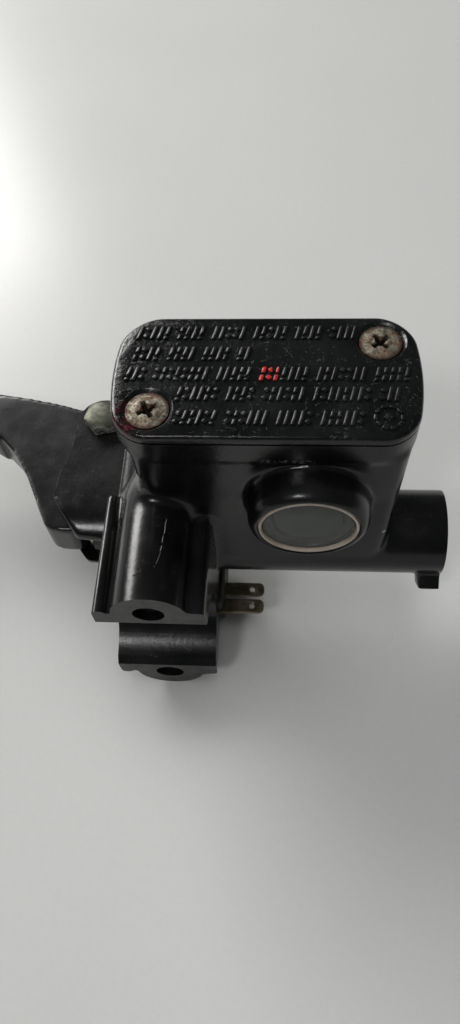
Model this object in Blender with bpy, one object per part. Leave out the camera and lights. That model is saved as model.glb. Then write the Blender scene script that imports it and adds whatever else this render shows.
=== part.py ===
"""Hydraulic brake master cylinder for a 22.2 mm handlebar, with its lever and brake light switch.

Frame: the origin is on the handlebar's axis, at the middle of the clamp. +X runs along the handlebar
towards the hose outlet, +Y points forward, away from the rider, and +Z points up.
Sizes and places below are in millimetres; the meshes are built in metres.
"""

import math

import bmesh
import bpy
from mathutils import Vector

MM = 0.001
GAP = 0.3  # left between pieces that touch on the real object

# Handlebar clamp
BAR_RADIUS = 11.1
CLAMP_LEFT, CLAMP_RIGHT = -10.7, 11.2
CLAMP_TOP = 17.4
CLAMP_BOLT_X, CLAMP_BOLT_Z = 0.4, 17.0
CLAMP_COLUMN_RADIUS = 7.3
CLAMP_HOLE_RADIUS = 3.0
UPPER_COLUMN_DEPTH, LOWER_COLUMN_DEPTH = 26.4, 13.6
UPPER_HOLE_DEPTH, LOWER_HOLE_DEPTH = 21.0, 11.8

# Barrel, along X
BARREL_Y, BARREL_RADIUS = 28.0, 9.2
BARREL_MOUTH, BARREL_END = -9.6, 60.0
BORE_RADIUS, BORE_END = 5.5, 45.0
MOUTH_RADIUS, MOUTH_DEPTH_X = 7.3, -3.0
OUTLET_RADIUS, OUTLET_BOTTOM = 4.2, 48.0
SUPPLY_PORT_X, RELIEF_PORT_X = 9.0, 20.5

# Reservoir
TANK_CENTRE = (22.2, 35.4)
TANK_SIZE = (56.0, 27.8)
TANK_CORNERS = (7.0, 6.0, 9.0, 10.0)  # front left, front right, back right, back left
FLANGE_BOTTOM, RIM_TOP = 37.0, 42.4
CAVITY_FLOOR, CAVITY_CENTRE, CAVITY_SIZE, CAVITY_CORNER = 12.0, (22.7, 35.5), (44.4, 22.8), 4.0
LEDGE_SIZE, LEDGE_Z = (51.0, 24.6), 40.3
SCREW_POST_RADIUS = 4.6
DIAPHRAGM_SIZE, WELL_CENTRE, WELL_SIZE, WELL_WALL = (50.2, 23.8), (22.6, 35.5), (31.0, 20.0), 1.2
LID_TOP = 45.0
# levels of the tank's walls: z, then the rider's side, the outlet's side and the far side
WALL_LEVELS = (
    (-3.0, 19.5, 45.8, 37.0),
    (4.0, 19.5, 46.8, 40.0),
    (10.5, 20.2, 47.4, 48.2),
    (24.0, 21.7, 48.0, 48.6),
    (38.0, 21.9, 48.4, 49.2),
)
WALL_LEFT = -2.4
WALL_CORNERS = (2.0, 2.6, 6.0, 6.0)
SCREW_OFFSET = (20.8, 7.8)
SCREW_HEAD_RADIUS, SCREW_SHANK_RADIUS = 4.0, 1.9

# Sight glass, in the reservoir's rider side
SIGHT_X, SIGHT_Z = 30.5, 24.3
SIGHT_HOUSING_RADIUS, SIGHT_FACE = 11.6, 14.7
SIGHT_RECESS_RADIUS, SIGHT_SEAT = 9.8, 19.0
SIGHT_HOLE_RADIUS = 7.0

# Lever bracket and lever
PIVOT = (-16.2, 50.9)
EAR_TOP, SLOT_HALF = 9.2, 5.3
EAR_BOSS_RADIUS = 6.4
PIVOT_HOLE_RADIUS, PIVOT_BOLT_RADIUS = 3.3, 3.0
PIVOT_HEAD_FLATS, PIVOT_HEAD_HEIGHT, PIVOT_HEAD_TURN = 8.0, 3.0, 13
HUB_RADIUS, LEVER_HALF = 6.4, 5.0
KNOCKER = (-22.0, 28.0)
KNOCKER_RADIUS = 4.0
FINGER = (-19.9, 28.5)
FINGER_RADIUS, FINGER_BOTTOM = 1.8, -15.0
# blade stations from the hub to the tip: x, y, width, height, corner radius
BLADE_STATIONS = (
    (-40.0, 54.6, 13.4, 10.0, 1.2),
    (-46.0, 56.9, 11.6, 10.0, 1.5),
    (-56.0, 59.5, 10.2, 9.6, 2.3),
    (-72.0, 61.6, 9.6, 9.0, 3.1),
    (-92.0, 62.0, 9.2, 8.6, 3.2),
    (-114.0, 60.6, 9.0, 8.4, 3.1),
    (-136.0, 57.2, 9.0, 8.2, 3.0),
    (-155.0, 53.0, 8.8, 8.0, 2.9),
    (-169.0, 49.6, 8.2, 7.6, 2.7),
)
TIP, TIP_RADIUS = (-173.0, 48.6), 6.6

# Piston
PISTON_TIP = KNOCKER[0] + KNOCKER_RADIUS + GAP
ROD_RADIUS, PISTON_RADIUS = 4.0, 5.2

# Brake light switch, under the barrel
SWITCH_LOW, SWITCH_HIGH = (-8.0, 14.0, -20.8), (12.2, 32.0, -9.8)
SWITCH_SCREW = (2.0, 17.4)
PLUNGER_Y, PLUNGER_Z, PLUNGER_RADIUS = 28.1, -12.3, 1.5
TERMINAL_Z, TERMINAL_WIDTH, TERMINAL_THICKNESS = -15.0, 3.4, 0.8
TERMINAL_TIP, TERMINAL_YS = 21.3, {"front": 15.5, "rear": 19.7}


def in_space(axis, along, u, v):
    """A point at (u, v) across an axis, as x, y, z."""
    return {"x": (along, u, v), "y": (u, along, v), "z": (u, v, along)}[axis]


def arc(centre, radius, start, end, steps):
    """Points on a circle, from one angle to another, in degrees."""
    angles = [math.radians(start + (end - start) * i / steps) for i in range(steps + 1)]
    return [(centre[0] + radius * math.cos(a), centre[1] + radius * math.sin(a)) for a in angles]


def circle(centre, radius, segments):
    return arc(centre, radius, 0, 360, segments)[:-1]


def rounded_rectangle(centre, size, radii, steps=6):
    """An outline whose corners, from the low-low one on, counterclockwise, have these radii."""
    half = (size[0] / 2, size[1] / 2)
    signs = ((-1, -1), (1, -1), (1, 1), (-1, 1))
    outline = []
    for corner, ((sx, sy), radius) in enumerate(zip(signs, radii)):
        middle = (centre[0] + sx * (half[0] - radius), centre[1] + sy * (half[1] - radius))
        outline += arc(middle, radius, 180 + 90 * corner, 270 + 90 * corner, steps)
    return outline


def object_of(name, bm):
    """Links a closed bmesh, built in millimetres, as an object."""
    bmesh.ops.scale(bm, vec=(MM, MM, MM), verts=bm.verts)
    bmesh.ops.remove_doubles(bm, verts=bm.verts, dist=1e-7)
    bmesh.ops.recalc_face_normals(bm, faces=bm.faces)
    mesh = bpy.data.meshes.new(name)
    bm.to_mesh(mesh)
    bm.free()
    made = bpy.data.objects.new(name, mesh)
    bpy.context.scene.collection.objects.link(made)
    return made


def loft(name, rings):
    """A closed solid through rings of equally many points."""
    bm = bmesh.new()
    loops = [[bm.verts.new(point) for point in ring] for ring in rings]
    for lower, upper in zip(loops, loops[1:]):
        for i in range(len(lower)):
            j = (i + 1) % len(lower)
            bm.faces.new((lower[i], lower[j], upper[j], upper[i]))
    bm.faces.new(loops[0])
    bm.faces.new(loops[-1])
    return object_of(name, bm)


def prism(name, axis, outline, low, high):
    return loft(name, [[in_space(axis, t, u, v) for u, v in outline] for t in (low, high)])


def block(name, low, high):
    outline = [(low[0], low[1]), (high[0], low[1]), (high[0], high[1]), (low[0], high[1])]
    return prism(name, "z", outline, low[2], high[2])


def rod(name, axis, centre, radius, low, high, segments=32):
    return prism(name, axis, circle(centre, radius, segments), low, high)


def turned(name, axis, centre, profile, segments=36):
    """A closed profile of (radius, along) points turned about an axis."""
    bm = bmesh.new()
    points = [bm.verts.new(in_space(axis, t, centre[0] + r, centre[1])) for r, t in profile]
    for i, point in enumerate(points):
        bm.edges.new((point, points[(i + 1) % len(points)]))
    bmesh.ops.spin(
        bm,
        geom=bm.verts[:] + bm.edges[:],
        cent=in_space(axis, 0, *centre),
        axis=in_space(axis, 1, 0, 0),
        angle=math.tau,
        steps=segments,
        use_merge=True,
    )
    bmesh.ops.remove_doubles(bm, verts=bm.verts, dist=1e-5)
    on_axis = [e for e in bm.edges if not e.link_faces]
    bmesh.ops.delete(bm, geom=on_axis, context="EDGES")
    return object_of(name, bm)


def combine(target, tool, operation):
    """Applies one Boolean to target and removes the tool."""
    modifier = target.modifiers.new(operation.lower(), "BOOLEAN")
    modifier.operation = operation
    modifier.object = tool
    bpy.context.view_layer.update()
    evaluated = target.evaluated_get(bpy.context.evaluated_depsgraph_get())
    shape = bpy.data.meshes.new_from_object(evaluated)
    target.modifiers.clear()
    target.data = shape
    bpy.data.objects.remove(tool)


def fuse(target, *tools):
    for tool in tools:
        combine(target, tool, "UNION")


def cut(target, *tools):
    for tool in tools:
        combine(target, tool, "DIFFERENCE")


def finish(made, colour, roughness, metallic):
    """Gives a piece its material and shades its round faces smooth."""
    material = bpy.data.materials.new(made.name)
    material.use_nodes = True
    shader = material.node_tree.nodes["Principled BSDF"]
    shader.inputs["Base Color"].default_value = (*colour, 1.0)
    shader.inputs["Roughness"].default_value = roughness
    shader.inputs["Metallic"].default_value = metallic
    made.data.materials.clear()
    made.data.materials.append(material)
    made.data.shade_smooth()
    made.data.set_sharp_from_angle(angle=math.radians(32))
    return made


def move_origin(made, point):
    """Puts a piece's origin at a point, in millimetres, and leaves its shape where it is."""
    place = Vector(point) * MM
    made.data.transform(made.matrix_world.inverted() @ made.matrix_world.Translation(-place))
    made.location = place


# Casting


def tank_outline():
    return rounded_rectangle(TANK_CENTRE, TANK_SIZE, TANK_CORNERS)


def screw_places():
    x, y = TANK_CENTRE
    dx, dy = SCREW_OFFSET
    return {"front": (x - dx, y - dy), "rear": (x + dx, y + dy)}


def clamp_half(side, depth):
    """One bolt boss of the clamp: side 1 is the upper one and -1 the lower one."""
    low, high = sorted((side * CLAMP_TOP, side * 5.0))
    boss = block(f"clamp_{side}", (CLAMP_LEFT, 0, low), (CLAMP_RIGHT, depth, high))
    centre = (CLAMP_BOLT_X, side * CLAMP_BOLT_Z)
    fuse(boss, rod("column", "y", centre, CLAMP_COLUMN_RADIUS, 0, depth))
    return boss


def lever_bracket():
    """Two ears: the barrel's round front side, carried on as a flat plate to the pivot."""
    front = arc((BARREL_Y, 0), BARREL_RADIUS, 90, 270, 20)
    section = front + [(60, -EAR_TOP), (60, EAR_TOP)]
    bracket = prism("bracket", "x", section, -27, 0)
    edge = [(0, 18), (-13.2, 21.4), (-19.4, 21.8), (-22.4, 25.8), (-25.0, 30.4), (-24.6, 36.0)]
    edge += [(-22.9, 43.0)]
    edge += arc(PIVOT, EAR_BOSS_RADIUS, 192, -10, 14)
    edge += [(-4.5, 41.0), (0, 37.0)]
    combine(bracket, prism("plan", "z", edge, -20, 20), "INTERSECT")
    return bracket


def tank():
    """The reservoir's walls, with draft, from the barrel to the flange, and the flange itself."""
    rings = []
    for z, front, right, back in WALL_LEVELS:
        centre = ((WALL_LEFT + right) / 2, (front + back) / 2)
        outline = rounded_rectangle(centre, (right - WALL_LEFT, back - front), WALL_CORNERS)
        rings.append([(u, v, z) for u, v in outline])
    walls = loft("tank", rings)
    fuse(walls, prism("flange", "z", tank_outline(), FLANGE_BOTTOM, RIM_TOP))
    flare = [(8, 5), (-9.6, 5), (-9.6, EAR_TOP)] + arc((-13.6, 26.0), 12.0, -68, 0, 8) + [(8, 30)]
    fuse(walls, prism("flare", "y", flare, 22.0, 45.0))
    return walls


def body_casting():
    body = rod("body_casting", "x", (BARREL_Y, 0), BARREL_RADIUS, BARREL_MOUTH, BARREL_END, 48)
    fuse(body, lever_bracket(), tank())
    fuse(body, clamp_half(1, UPPER_COLUMN_DEPTH), clamp_half(-1, LOWER_COLUMN_DEPTH))
    web_low, web_high = (CLAMP_LEFT, 2.0, -9.4), (CLAMP_RIGHT, 21.0, 9.0)
    fuse(body, block("web", web_low, web_high))
    sight = (SIGHT_X, SIGHT_Z)
    fuse(body, rod("sight_housing", "y", sight, SIGHT_HOUSING_RADIUS, SIGHT_FACE, 26, 48))
    fuse(body, stop_lug())
    cut_clamp(body)
    cut_lever_room(body)
    cut_barrel(body)
    cut_tank(body)
    return finish(body, (0.018, 0.018, 0.02), 0.4, 0.0)


def stop_lug():
    """The lug beside the outlet that a hose fitting leans on, down and to the rider's side."""
    lug = block("lug", (55.3, 6.0, -2.75), (60.5, 12.7, 2.75))
    lug.rotation_euler.x = math.radians(223)
    lug.location = (0, BARREL_Y * MM, 0)
    return lug


def cut_clamp(body):
    cut(body, rod("saddle", "x", (0, 0), BAR_RADIUS, -14, 15, 64))
    for side, depth in ((1, UPPER_HOLE_DEPTH), (-1, LOWER_HOLE_DEPTH)):
        centre = (CLAMP_BOLT_X, side * CLAMP_BOLT_Z)
        cut(body, rod("bolt_hole", "y", centre, CLAMP_HOLE_RADIUS, -1, depth, 24))


def cut_lever_room(body):
    """The slot between the ears, the hub's round room, the pivot's hole and the switch window."""
    left = BARREL_MOUTH
    room = prism("slot", "z", [(-40, 5), (left, 5), (left, 70), (-40, 70)], -SLOT_HALF, SLOT_HALF)
    fuse(room, rod("hub_room", "z", PIVOT, HUB_RADIUS + 0.6, -SLOT_HALF, SLOT_HALF, 40))
    cut(body, room)
    cut(body, rod("pivot_hole", "z", PIVOT, PIVOT_HOLE_RADIUS, -20, 20, 24))
    window = rounded_rectangle((-16.5, 28.4), (11.4, 5.0), (2.0,) * 4, 4)
    cut(body, prism("window", "z", window, -12, -3))
    cut(body, rod("switch_thread", "z", SWITCH_SCREW, 2.2, -12, -2.5, 16))


def cut_barrel(body):
    centre = (BARREL_Y, 0)
    cut(
        body,
        rod("bore", "x", centre, BORE_RADIUS, -15, BORE_END, 36),
        rod("mouth", "x", centre, MOUTH_RADIUS, -15, MOUTH_DEPTH_X, 36),
        rod("outlet", "x", centre, OUTLET_RADIUS, OUTLET_BOTTOM, 65, 24),
        rod("passage", "x", centre, 1.2, BORE_END - 2, OUTLET_BOTTOM + 2, 12),
    )


def cut_tank(body):
    """The cavity with its screw posts and diaphragm ledge, the two ports and the sight window."""
    inside = rounded_rectangle(CAVITY_CENTRE, CAVITY_SIZE, (CAVITY_CORNER,) * 4)
    cavity = prism("cavity", "z", inside, CAVITY_FLOOR, 50)
    ledge = rounded_rectangle(TANK_CENTRE, LEDGE_SIZE, (CAVITY_CORNER,) * 4)
    fuse(cavity, prism("ledge", "z", ledge, LEDGE_Z, 50))
    for place in screw_places().values():
        cut(cavity, rod("post", "z", place, SCREW_POST_RADIUS, 0, 60, 20))
    cut(body, cavity)
    for place in screw_places().values():
        cut(body, rod("screw_hole", "z", place, SCREW_SHANK_RADIUS + GAP, 27, 50, 16))
    cut(body, rod("supply_port", "z", (SUPPLY_PORT_X, BARREL_Y), 1.4, 0, CAVITY_FLOOR + 2, 12))
    cut(body, rod("relief_port", "z", (RELIEF_PORT_X, BARREL_Y), 0.5, 0, CAVITY_FLOOR + 2, 8))
    sight = (SIGHT_X, SIGHT_Z)
    cut(body, rod("sight_recess", "y", sight, SIGHT_RECESS_RADIUS, 10, SIGHT_SEAT, 40))
    cut(body, rod("sight_hole", "y", sight, SIGHT_HOLE_RADIUS, 15, 30, 32))


# Reservoir top


def reservoir_lid():
    lid = prism("reservoir_lid", "z", tank_outline(), RIM_TOP + GAP, LID_TOP)
    for place in screw_places().values():
        sink = [(0, 40), (2.5, 40), (2.5, 42.6), (SCREW_HEAD_RADIUS + GAP, 44.4), (4.3, 47), (0, 47)]
        cut(lid, turned("sink", "z", place, sink, 24))
    return finish(lid, (0.02, 0.02, 0.022), 0.35, 0.0)


def clear_of_posts(made):
    """Cuts round the two screw posts out of a piece under the lid."""
    for place in screw_places().values():
        cut(made, rod("post_room", "z", place, SCREW_POST_RADIUS + 0.4, 20, 60, 20))
    return made


def diaphragm_plate():
    """The stiff plate that presses the diaphragm's rim down."""
    outline = rounded_rectangle(TANK_CENTRE, DIAPHRAGM_SIZE, (3.8,) * 4)
    plate = prism("diaphragm_plate", "z", outline, 41.6, 42.4)
    centre_slot = rounded_rectangle(TANK_CENTRE, (30, 8), (3,) * 4)
    cut(plate, prism("slot", "z", centre_slot, 40, 44))
    return finish(clear_of_posts(plate), (0.7, 0.69, 0.64), 0.5, 0.0)


def diaphragm():
    """The rubber bellows under the lid: a flat rim and a well that hangs into the fluid."""
    outline = rounded_rectangle(TANK_CENTRE, DIAPHRAGM_SIZE, (3.8,) * 4)
    rim = clear_of_posts(prism("diaphragm", "z", outline, 40.6, 41.3))
    inner_size = [side - 2 * WELL_WALL for side in WELL_SIZE]
    well = rounded_rectangle(WELL_CENTRE, WELL_SIZE, (4,) * 4)
    inside = rounded_rectangle(WELL_CENTRE, inner_size, (3,) * 4)
    fuse(rim, prism("well", "z", well, 30.0, 41.3))
    cut(rim, prism("inside", "z", inside, 30.0 + WELL_WALL, 45.0))
    return finish(rim, (0.03, 0.03, 0.03), 0.7, 0.0)


def lid_screw(name, place):
    """A countersunk M4 screw with a cross recess."""
    top = LID_TOP - 0.3
    profile = [(0, 28.5), (SCREW_SHANK_RADIUS, 28.5), (SCREW_SHANK_RADIUS, 42.6)]
    profile += [(SCREW_HEAD_RADIUS - 0.2, top - 0.5), (SCREW_HEAD_RADIUS, top), (0, top)]
    screw = turned(name, "z", place, profile, 24)
    recess_cross(screw, place, top, 2.2, 0.9, 1.4)
    return finish(screw, (0.5, 0.44, 0.37), 0.55, 0.85)


def recess_cross(screw, place, top, half, width, depth):
    """A cross of two slots, sunk from the top of a screw's head."""
    x, y = place
    for across in ((half, width / 2), (width / 2, half)):
        low = (x - across[0], y - across[1], top - depth)
        cut(screw, block("recess", low, (x + across[0], y + across[1], top + 1)))


def port_protector():
    """The bent sheet over the two ports that keeps fluid from spouting up."""
    low, top, sheet = CAVITY_FLOOR + GAP, 15.0, 0.6
    section = [(-4.6, low), (-4.0, low), (-4.0, top - sheet), (4.0, top - sheet), (4.0, low)]
    section += [(4.6, low), (4.6, top), (-4.6, top)]
    section = [(BARREL_Y + 1.5 + y, z) for y, z in section]
    sheet_part = prism("port_protector", "x", section, 6.6, 25.0)
    return finish(sheet_part, (0.6, 0.6, 0.58), 0.35, 1.0)


# Sight glass


def sight_pieces():
    """The ring, lens, seal and back plate, from the rider's side inwards."""
    centre = (SIGHT_X, SIGHT_Z)
    seat = SIGHT_SEAT - GAP
    ring = [(8.6, 14.9), (9.5, 14.9), (9.5, seat), (8.6, seat)]
    lens = [(0, 15.4), (7.9, 15.4), (8.3, 15.8), (8.3, 17.5), (0, 17.5)]
    seal = [(6.9, 17.8), (8.3, 17.8), (8.3, seat), (6.9, seat)]
    plate = [(0, 17.9), (6.3, 17.9), (6.3, 18.6), (0, 18.6)]
    finish(turned("sight_ring", "y", centre, ring, 48), (0.78, 0.72, 0.66), 0.45, 0.0)
    finish(turned("sight_lens", "y", centre, lens, 40), (0.5, 0.56, 0.52), 0.1, 0.0)
    finish(turned("sight_seal", "y", centre, seal, 40), (0.03, 0.03, 0.03), 0.7, 0.0)
    finish(turned("sight_backplate", "y", centre, plate, 32), (0.72, 0.74, 0.7), 0.4, 0.0)


# Piston set


def piston_pieces():
    centre = (BARREL_Y, 0)
    spool = 3.3
    piston = [
        (0, PISTON_TIP), (3.2, PISTON_TIP), (ROD_RADIUS, PISTON_TIP + 0.8), (ROD_RADIUS, -2.6),
        (PISTON_RADIUS, -2.6), (PISTON_RADIUS, -0.8), (spool, -0.8), (spool, 2.6),
        (PISTON_RADIUS, 2.6), (PISTON_RADIUS, 4.2), (spool, 4.2), (spool, 13.4),
        (PISTON_RADIUS, 13.4), (PISTON_RADIUS, 15.2), (2.2, 15.2), (2.2, 19.0), (0, 19.0),
    ]
    secondary = [(spool + GAP, -0.4), (5.2, -0.4), (5.3, 2.2), (4.4, 2.2), (3.9, 1.0), (spool + GAP, 1.0)]
    primary = [(2.5, 15.5), (5.1, 15.5), (5.3, 18.6), (4.5, 18.6), (3.9, 17.2), (2.5, 17.2)]
    finish(turned("piston", "x", centre, piston), (0.62, 0.6, 0.55), 0.35, 1.0)
    finish(turned("secondary_cup", "x", centre, secondary), (0.03, 0.03, 0.03), 0.6, 0.0)
    finish(turned("primary_cup", "x", centre, primary), (0.03, 0.03, 0.03), 0.6, 0.0)
    clip = arc(centre, 7.0, -155, 155, 30) + arc(centre, 5.8, 155, -155, 30)
    finish(prism("circlip", "x", clip, -4.6, -3.6), (0.35, 0.35, 0.36), 0.35, 1.0)


def return_spring():
    """A wire helix between the primary cup and the bore's end, its end coils closed up."""
    wire, coil_radius, turns, per_turn = 0.45, 3.6, 8, 12
    start, end = 19.6, BORE_END - 0.8
    centres = []
    for i in range(turns * per_turn + 1):
        share = i / (turns * per_turn)
        pitch_share = share - 0.5 / turns * math.sin(math.tau * share)
        angle = math.tau * i / per_turn
        x = start + (end - start) * pitch_share
        centres.append((x, coil_radius * math.cos(angle), coil_radius * math.sin(angle)))
    rings = []
    for x, y, z in centres:
        outward = Vector((0, y, z)).normalized()
        along = Vector((1, 0, 0))
        middle = Vector((x, BARREL_Y + y, z))
        section = circle((0, 0), wire, 6)
        rings.append([middle + outward * u + along * v for u, v in section])
    finish(loft("return_spring", rings), (0.55, 0.55, 0.53), 0.3, 1.0)


def dust_boot():
    """The rubber boot from the barrel's mouth to the piston rod, with two folds."""
    inner = [(4.3, -16.6), (4.3, -15.2), (5.0, -14.2), (4.4, -12.4), (5.5, -10.6), (4.5, -8.6), (5.6, -6.9)]
    inner += [(5.6, -4.9)]
    outer = [(7.0, -4.9), (7.0, -6.2), (6.4, -6.9), (5.3, -8.6), (6.3, -10.6), (5.2, -12.4)]
    outer += [(5.8, -14.2), (5.2, -15.2), (5.2, -16.6)]
    finish(turned("dust_boot", "x", (BARREL_Y, 0), inner + outer, 32), (0.03, 0.03, 0.03), 0.65, 0.0)


# Lever


def catmull_rom(p, q, r, s, t):
    """The value at share t of the stretch from q to r."""
    slope, bend, twist = r - p, 2 * p - 5 * q + 4 * r - s, 3 * q - p - 3 * r + s
    return 0.5 * (2 * q + slope * t + bend * t**2 + twist * t**3)


def smooth_stations(stations, steps):
    """Catmull-Rom points through the stations, with steps in each stretch."""
    rows = [stations[0], *stations, stations[-1]]
    smooth = []
    for stretch in zip(rows, rows[1:], rows[2:], rows[3:]):
        for i in range(steps):
            smooth.append([catmull_rom(*values, i / steps) for values in zip(*stretch)])
    return smooth + [list(stations[-1])]


def lever_blade():
    """The finger blade: rounded sections that follow the stations out to the tip."""
    path = smooth_stations(BLADE_STATIONS, 3)
    rings = []
    for i, (x, y, width, height, radius) in enumerate(path):
        before, after = path[max(i - 1, 0)], path[min(i + 1, len(path) - 1)]
        heading = Vector((after[0] - before[0], after[1] - before[1], 0)).normalized()
        across = Vector((-heading.y, heading.x, 0))
        section = rounded_rectangle((0, 0), (width, height), (radius,) * 4, 3)
        middle = Vector((x, y, 0))
        rings.append([middle + across * u + Vector((0, 0, v)) for u, v in section])
    return loft("blade", rings)


def brake_lever():
    plate = arc(PIVOT, HUB_RADIUS, -120, 100, 16)
    plate += [(-23.0, 57.2), (-29.9, 59.2), (-37.2, 60.8), (-43.0, 61.5)]
    plate += [(-43.0, 50.0), (-37.9, 45.0), (-33.8, 38.8), (-30.0, 31.0), (-27.3, 25.6), (-26.0, 24.6)]
    plate += arc(KNOCKER, KNOCKER_RADIUS, -100, 30, 10)
    lever = prism("brake_lever", "z", plate, -LEVER_HALF, LEVER_HALF)
    fuse(lever, lever_blade())
    tip = bmesh.new()
    bmesh.ops.create_uvsphere(tip, u_segments=20, v_segments=12, radius=TIP_RADIUS)
    bmesh.ops.translate(tip, verts=tip.verts, vec=(*TIP, 0))
    fuse(lever, object_of("tip", tip))
    fuse(lever, rod("finger", "z", FINGER, FINGER_RADIUS, FINGER_BOTTOM, 0, 20))
    cut(lever, rod("pivot_hole", "z", PIVOT, PIVOT_HOLE_RADIUS, -20, 20, 24))
    move_origin(lever, (*PIVOT, 0))
    return finish(lever, (0.02, 0.02, 0.022), 0.4, 0.1)


def pivot_bolt():
    """The lever's shoulder bolt, with a low hexagon head, from above."""
    base = EAR_TOP + GAP
    bolt = rod("pivot_bolt", "z", PIVOT, PIVOT_BOLT_RADIUS, -17.0, base + 1.5, 24)
    corner = PIVOT_HEAD_FLATS / math.sqrt(3)
    hexagon = arc(PIVOT, corner, PIVOT_HEAD_TURN, PIVOT_HEAD_TURN + 360, 6)[:-1]
    fuse(bolt, prism("head", "z", hexagon, base, base + PIVOT_HEAD_HEIGHT))
    return finish(bolt, (0.42, 0.42, 0.38), 0.5, 0.8)


def pivot_nut():
    """The flanged lock nut under the lower ear."""
    top = -EAR_TOP - GAP
    nut = prism("pivot_nut", "z", arc(PIVOT, 10.0 / math.sqrt(3), 0, 360, 6)[:-1], top - 5.5, top)
    fuse(nut, rod("flange", "z", PIVOT, 6.4, top - 1.1, top, 32))
    cut(nut, rod("thread", "z", PIVOT, PIVOT_HOLE_RADIUS, -30, 0, 24))
    return finish(nut, (0.5, 0.5, 0.45), 0.45, 0.9)


# Brake light switch


def switch_housing():
    low, high = SWITCH_LOW, SWITCH_HIGH
    centre = ((low[0] + high[0]) / 2, (low[1] + high[1]) / 2)
    outline = rounded_rectangle(centre, (high[0] - low[0], high[1] - low[1]), (1.5,) * 4, 3)
    housing = prism("switch_housing", "z", outline, low[2], high[2])
    cut(housing, rod("screw_hole", "z", SWITCH_SCREW, 2.3, -30, 0, 16))
    cut(housing, rod("plunger_hole", "x", (PLUNGER_Y, PLUNGER_Z), PLUNGER_RADIUS + GAP, -12, 6.5, 20))
    for y in TERMINAL_YS.values():
        half = TERMINAL_WIDTH / 2 + GAP
        near = (high[0] - 3.0, y - half, TERMINAL_Z - TERMINAL_THICKNESS / 2 - GAP)
        far = (high[0] + 1.0, y + half, TERMINAL_Z + TERMINAL_THICKNESS / 2 + GAP)
        cut(housing, block("terminal_slot", near, far))
    return finish(housing, (0.05, 0.05, 0.045), 0.5, 0.0)


def switch_terminal(name, y):
    """A spade terminal with a rounded tip and a small hole."""
    half, back = TERMINAL_WIDTH / 2, SWITCH_HIGH[0] - 2.7
    outline = rounded_rectangle(
        ((back + TERMINAL_TIP) / 2, y), (TERMINAL_TIP - back, 2 * half), (0.2, 1.2, 1.2, 0.2), 4
    )
    thickness = TERMINAL_THICKNESS / 2
    blade = prism(name, "z", outline, TERMINAL_Z - thickness, TERMINAL_Z + thickness)
    cut(blade, rod("hole", "z", (TERMINAL_TIP - 2.8, y), 0.65, -20, -10, 12))
    return finish(blade, (0.45, 0.38, 0.25), 0.45, 0.9)


def switch_plunger():
    centre = (PLUNGER_Y, PLUNGER_Z)
    tip = FINGER[0] + FINGER_RADIUS + GAP
    profile = [(0, tip), (1.0, tip), (PLUNGER_RADIUS, tip + 0.5), (PLUNGER_RADIUS, -1.0), (0, -1.0)]
    return finish(turned("switch_plunger", "x", centre, profile, 20), (0.7, 0.68, 0.62), 0.4, 0.0)


def switch_screw():
    """An M4 pan-head screw, from below."""
    head = SWITCH_LOW[2] - GAP
    profile = [(0, head - 2.4), (2.6, head - 2.4), (3.5, head - 1.4), (3.5, head)]
    profile += [(SCREW_SHANK_RADIUS, head), (SCREW_SHANK_RADIUS, -4.0), (0, -4.0)]
    screw = turned("switch_screw", "z", SWITCH_SCREW, profile, 24)
    x, y = SWITCH_SCREW
    for across in ((2.0, 0.4), (0.4, 2.0)):
        low = (x - across[0], y - across[1], head - 4.0)
        cut(screw, block("recess", low, (x + across[0], y + across[1], head - 1.2)))
    return finish(screw, (0.5, 0.48, 0.42), 0.45, 0.9)


def build():
    for old in list(bpy.data.objects):
        bpy.data.objects.remove(old)
    body_casting()
    reservoir_lid()
    diaphragm_plate()
    diaphragm()
    for name, place in screw_places().items():
        lid_screw(f"lid_screw_{name}", place)
    port_protector()
    sight_pieces()
    piston_pieces()
    return_spring()
    dust_boot()
    brake_lever()
    pivot_bolt()
    pivot_nut()
    switch_housing()
    for name, y in TERMINAL_YS.items():
        switch_terminal(f"switch_terminal_{name}", y)
    switch_plunger()
    switch_screw()


build()
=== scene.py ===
import math
import random

import bmesh
import bpy
import numpy as np
from mathutils import Matrix, Vector


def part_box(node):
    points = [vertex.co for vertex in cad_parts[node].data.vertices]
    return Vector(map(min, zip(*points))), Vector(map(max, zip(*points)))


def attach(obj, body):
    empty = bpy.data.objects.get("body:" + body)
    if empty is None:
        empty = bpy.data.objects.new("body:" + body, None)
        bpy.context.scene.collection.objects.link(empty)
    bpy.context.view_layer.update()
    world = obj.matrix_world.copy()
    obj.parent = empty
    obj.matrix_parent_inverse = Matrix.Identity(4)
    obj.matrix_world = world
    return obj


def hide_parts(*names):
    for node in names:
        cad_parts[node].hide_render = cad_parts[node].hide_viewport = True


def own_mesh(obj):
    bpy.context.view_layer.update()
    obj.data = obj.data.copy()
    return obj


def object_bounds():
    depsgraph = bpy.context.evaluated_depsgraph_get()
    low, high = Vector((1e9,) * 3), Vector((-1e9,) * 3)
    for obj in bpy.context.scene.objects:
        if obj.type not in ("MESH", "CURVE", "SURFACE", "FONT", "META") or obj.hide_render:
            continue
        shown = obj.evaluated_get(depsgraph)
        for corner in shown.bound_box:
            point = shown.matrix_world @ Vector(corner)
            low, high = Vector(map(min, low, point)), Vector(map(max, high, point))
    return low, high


# The looks of a hydraulic brake master cylinder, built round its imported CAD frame.
# The origin is on the handlebar's axis, +X runs towards the hose outlet, +Y is forward and +Z up.
# Sizes and places are in millimetres; the meshes are built in metres.

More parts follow.
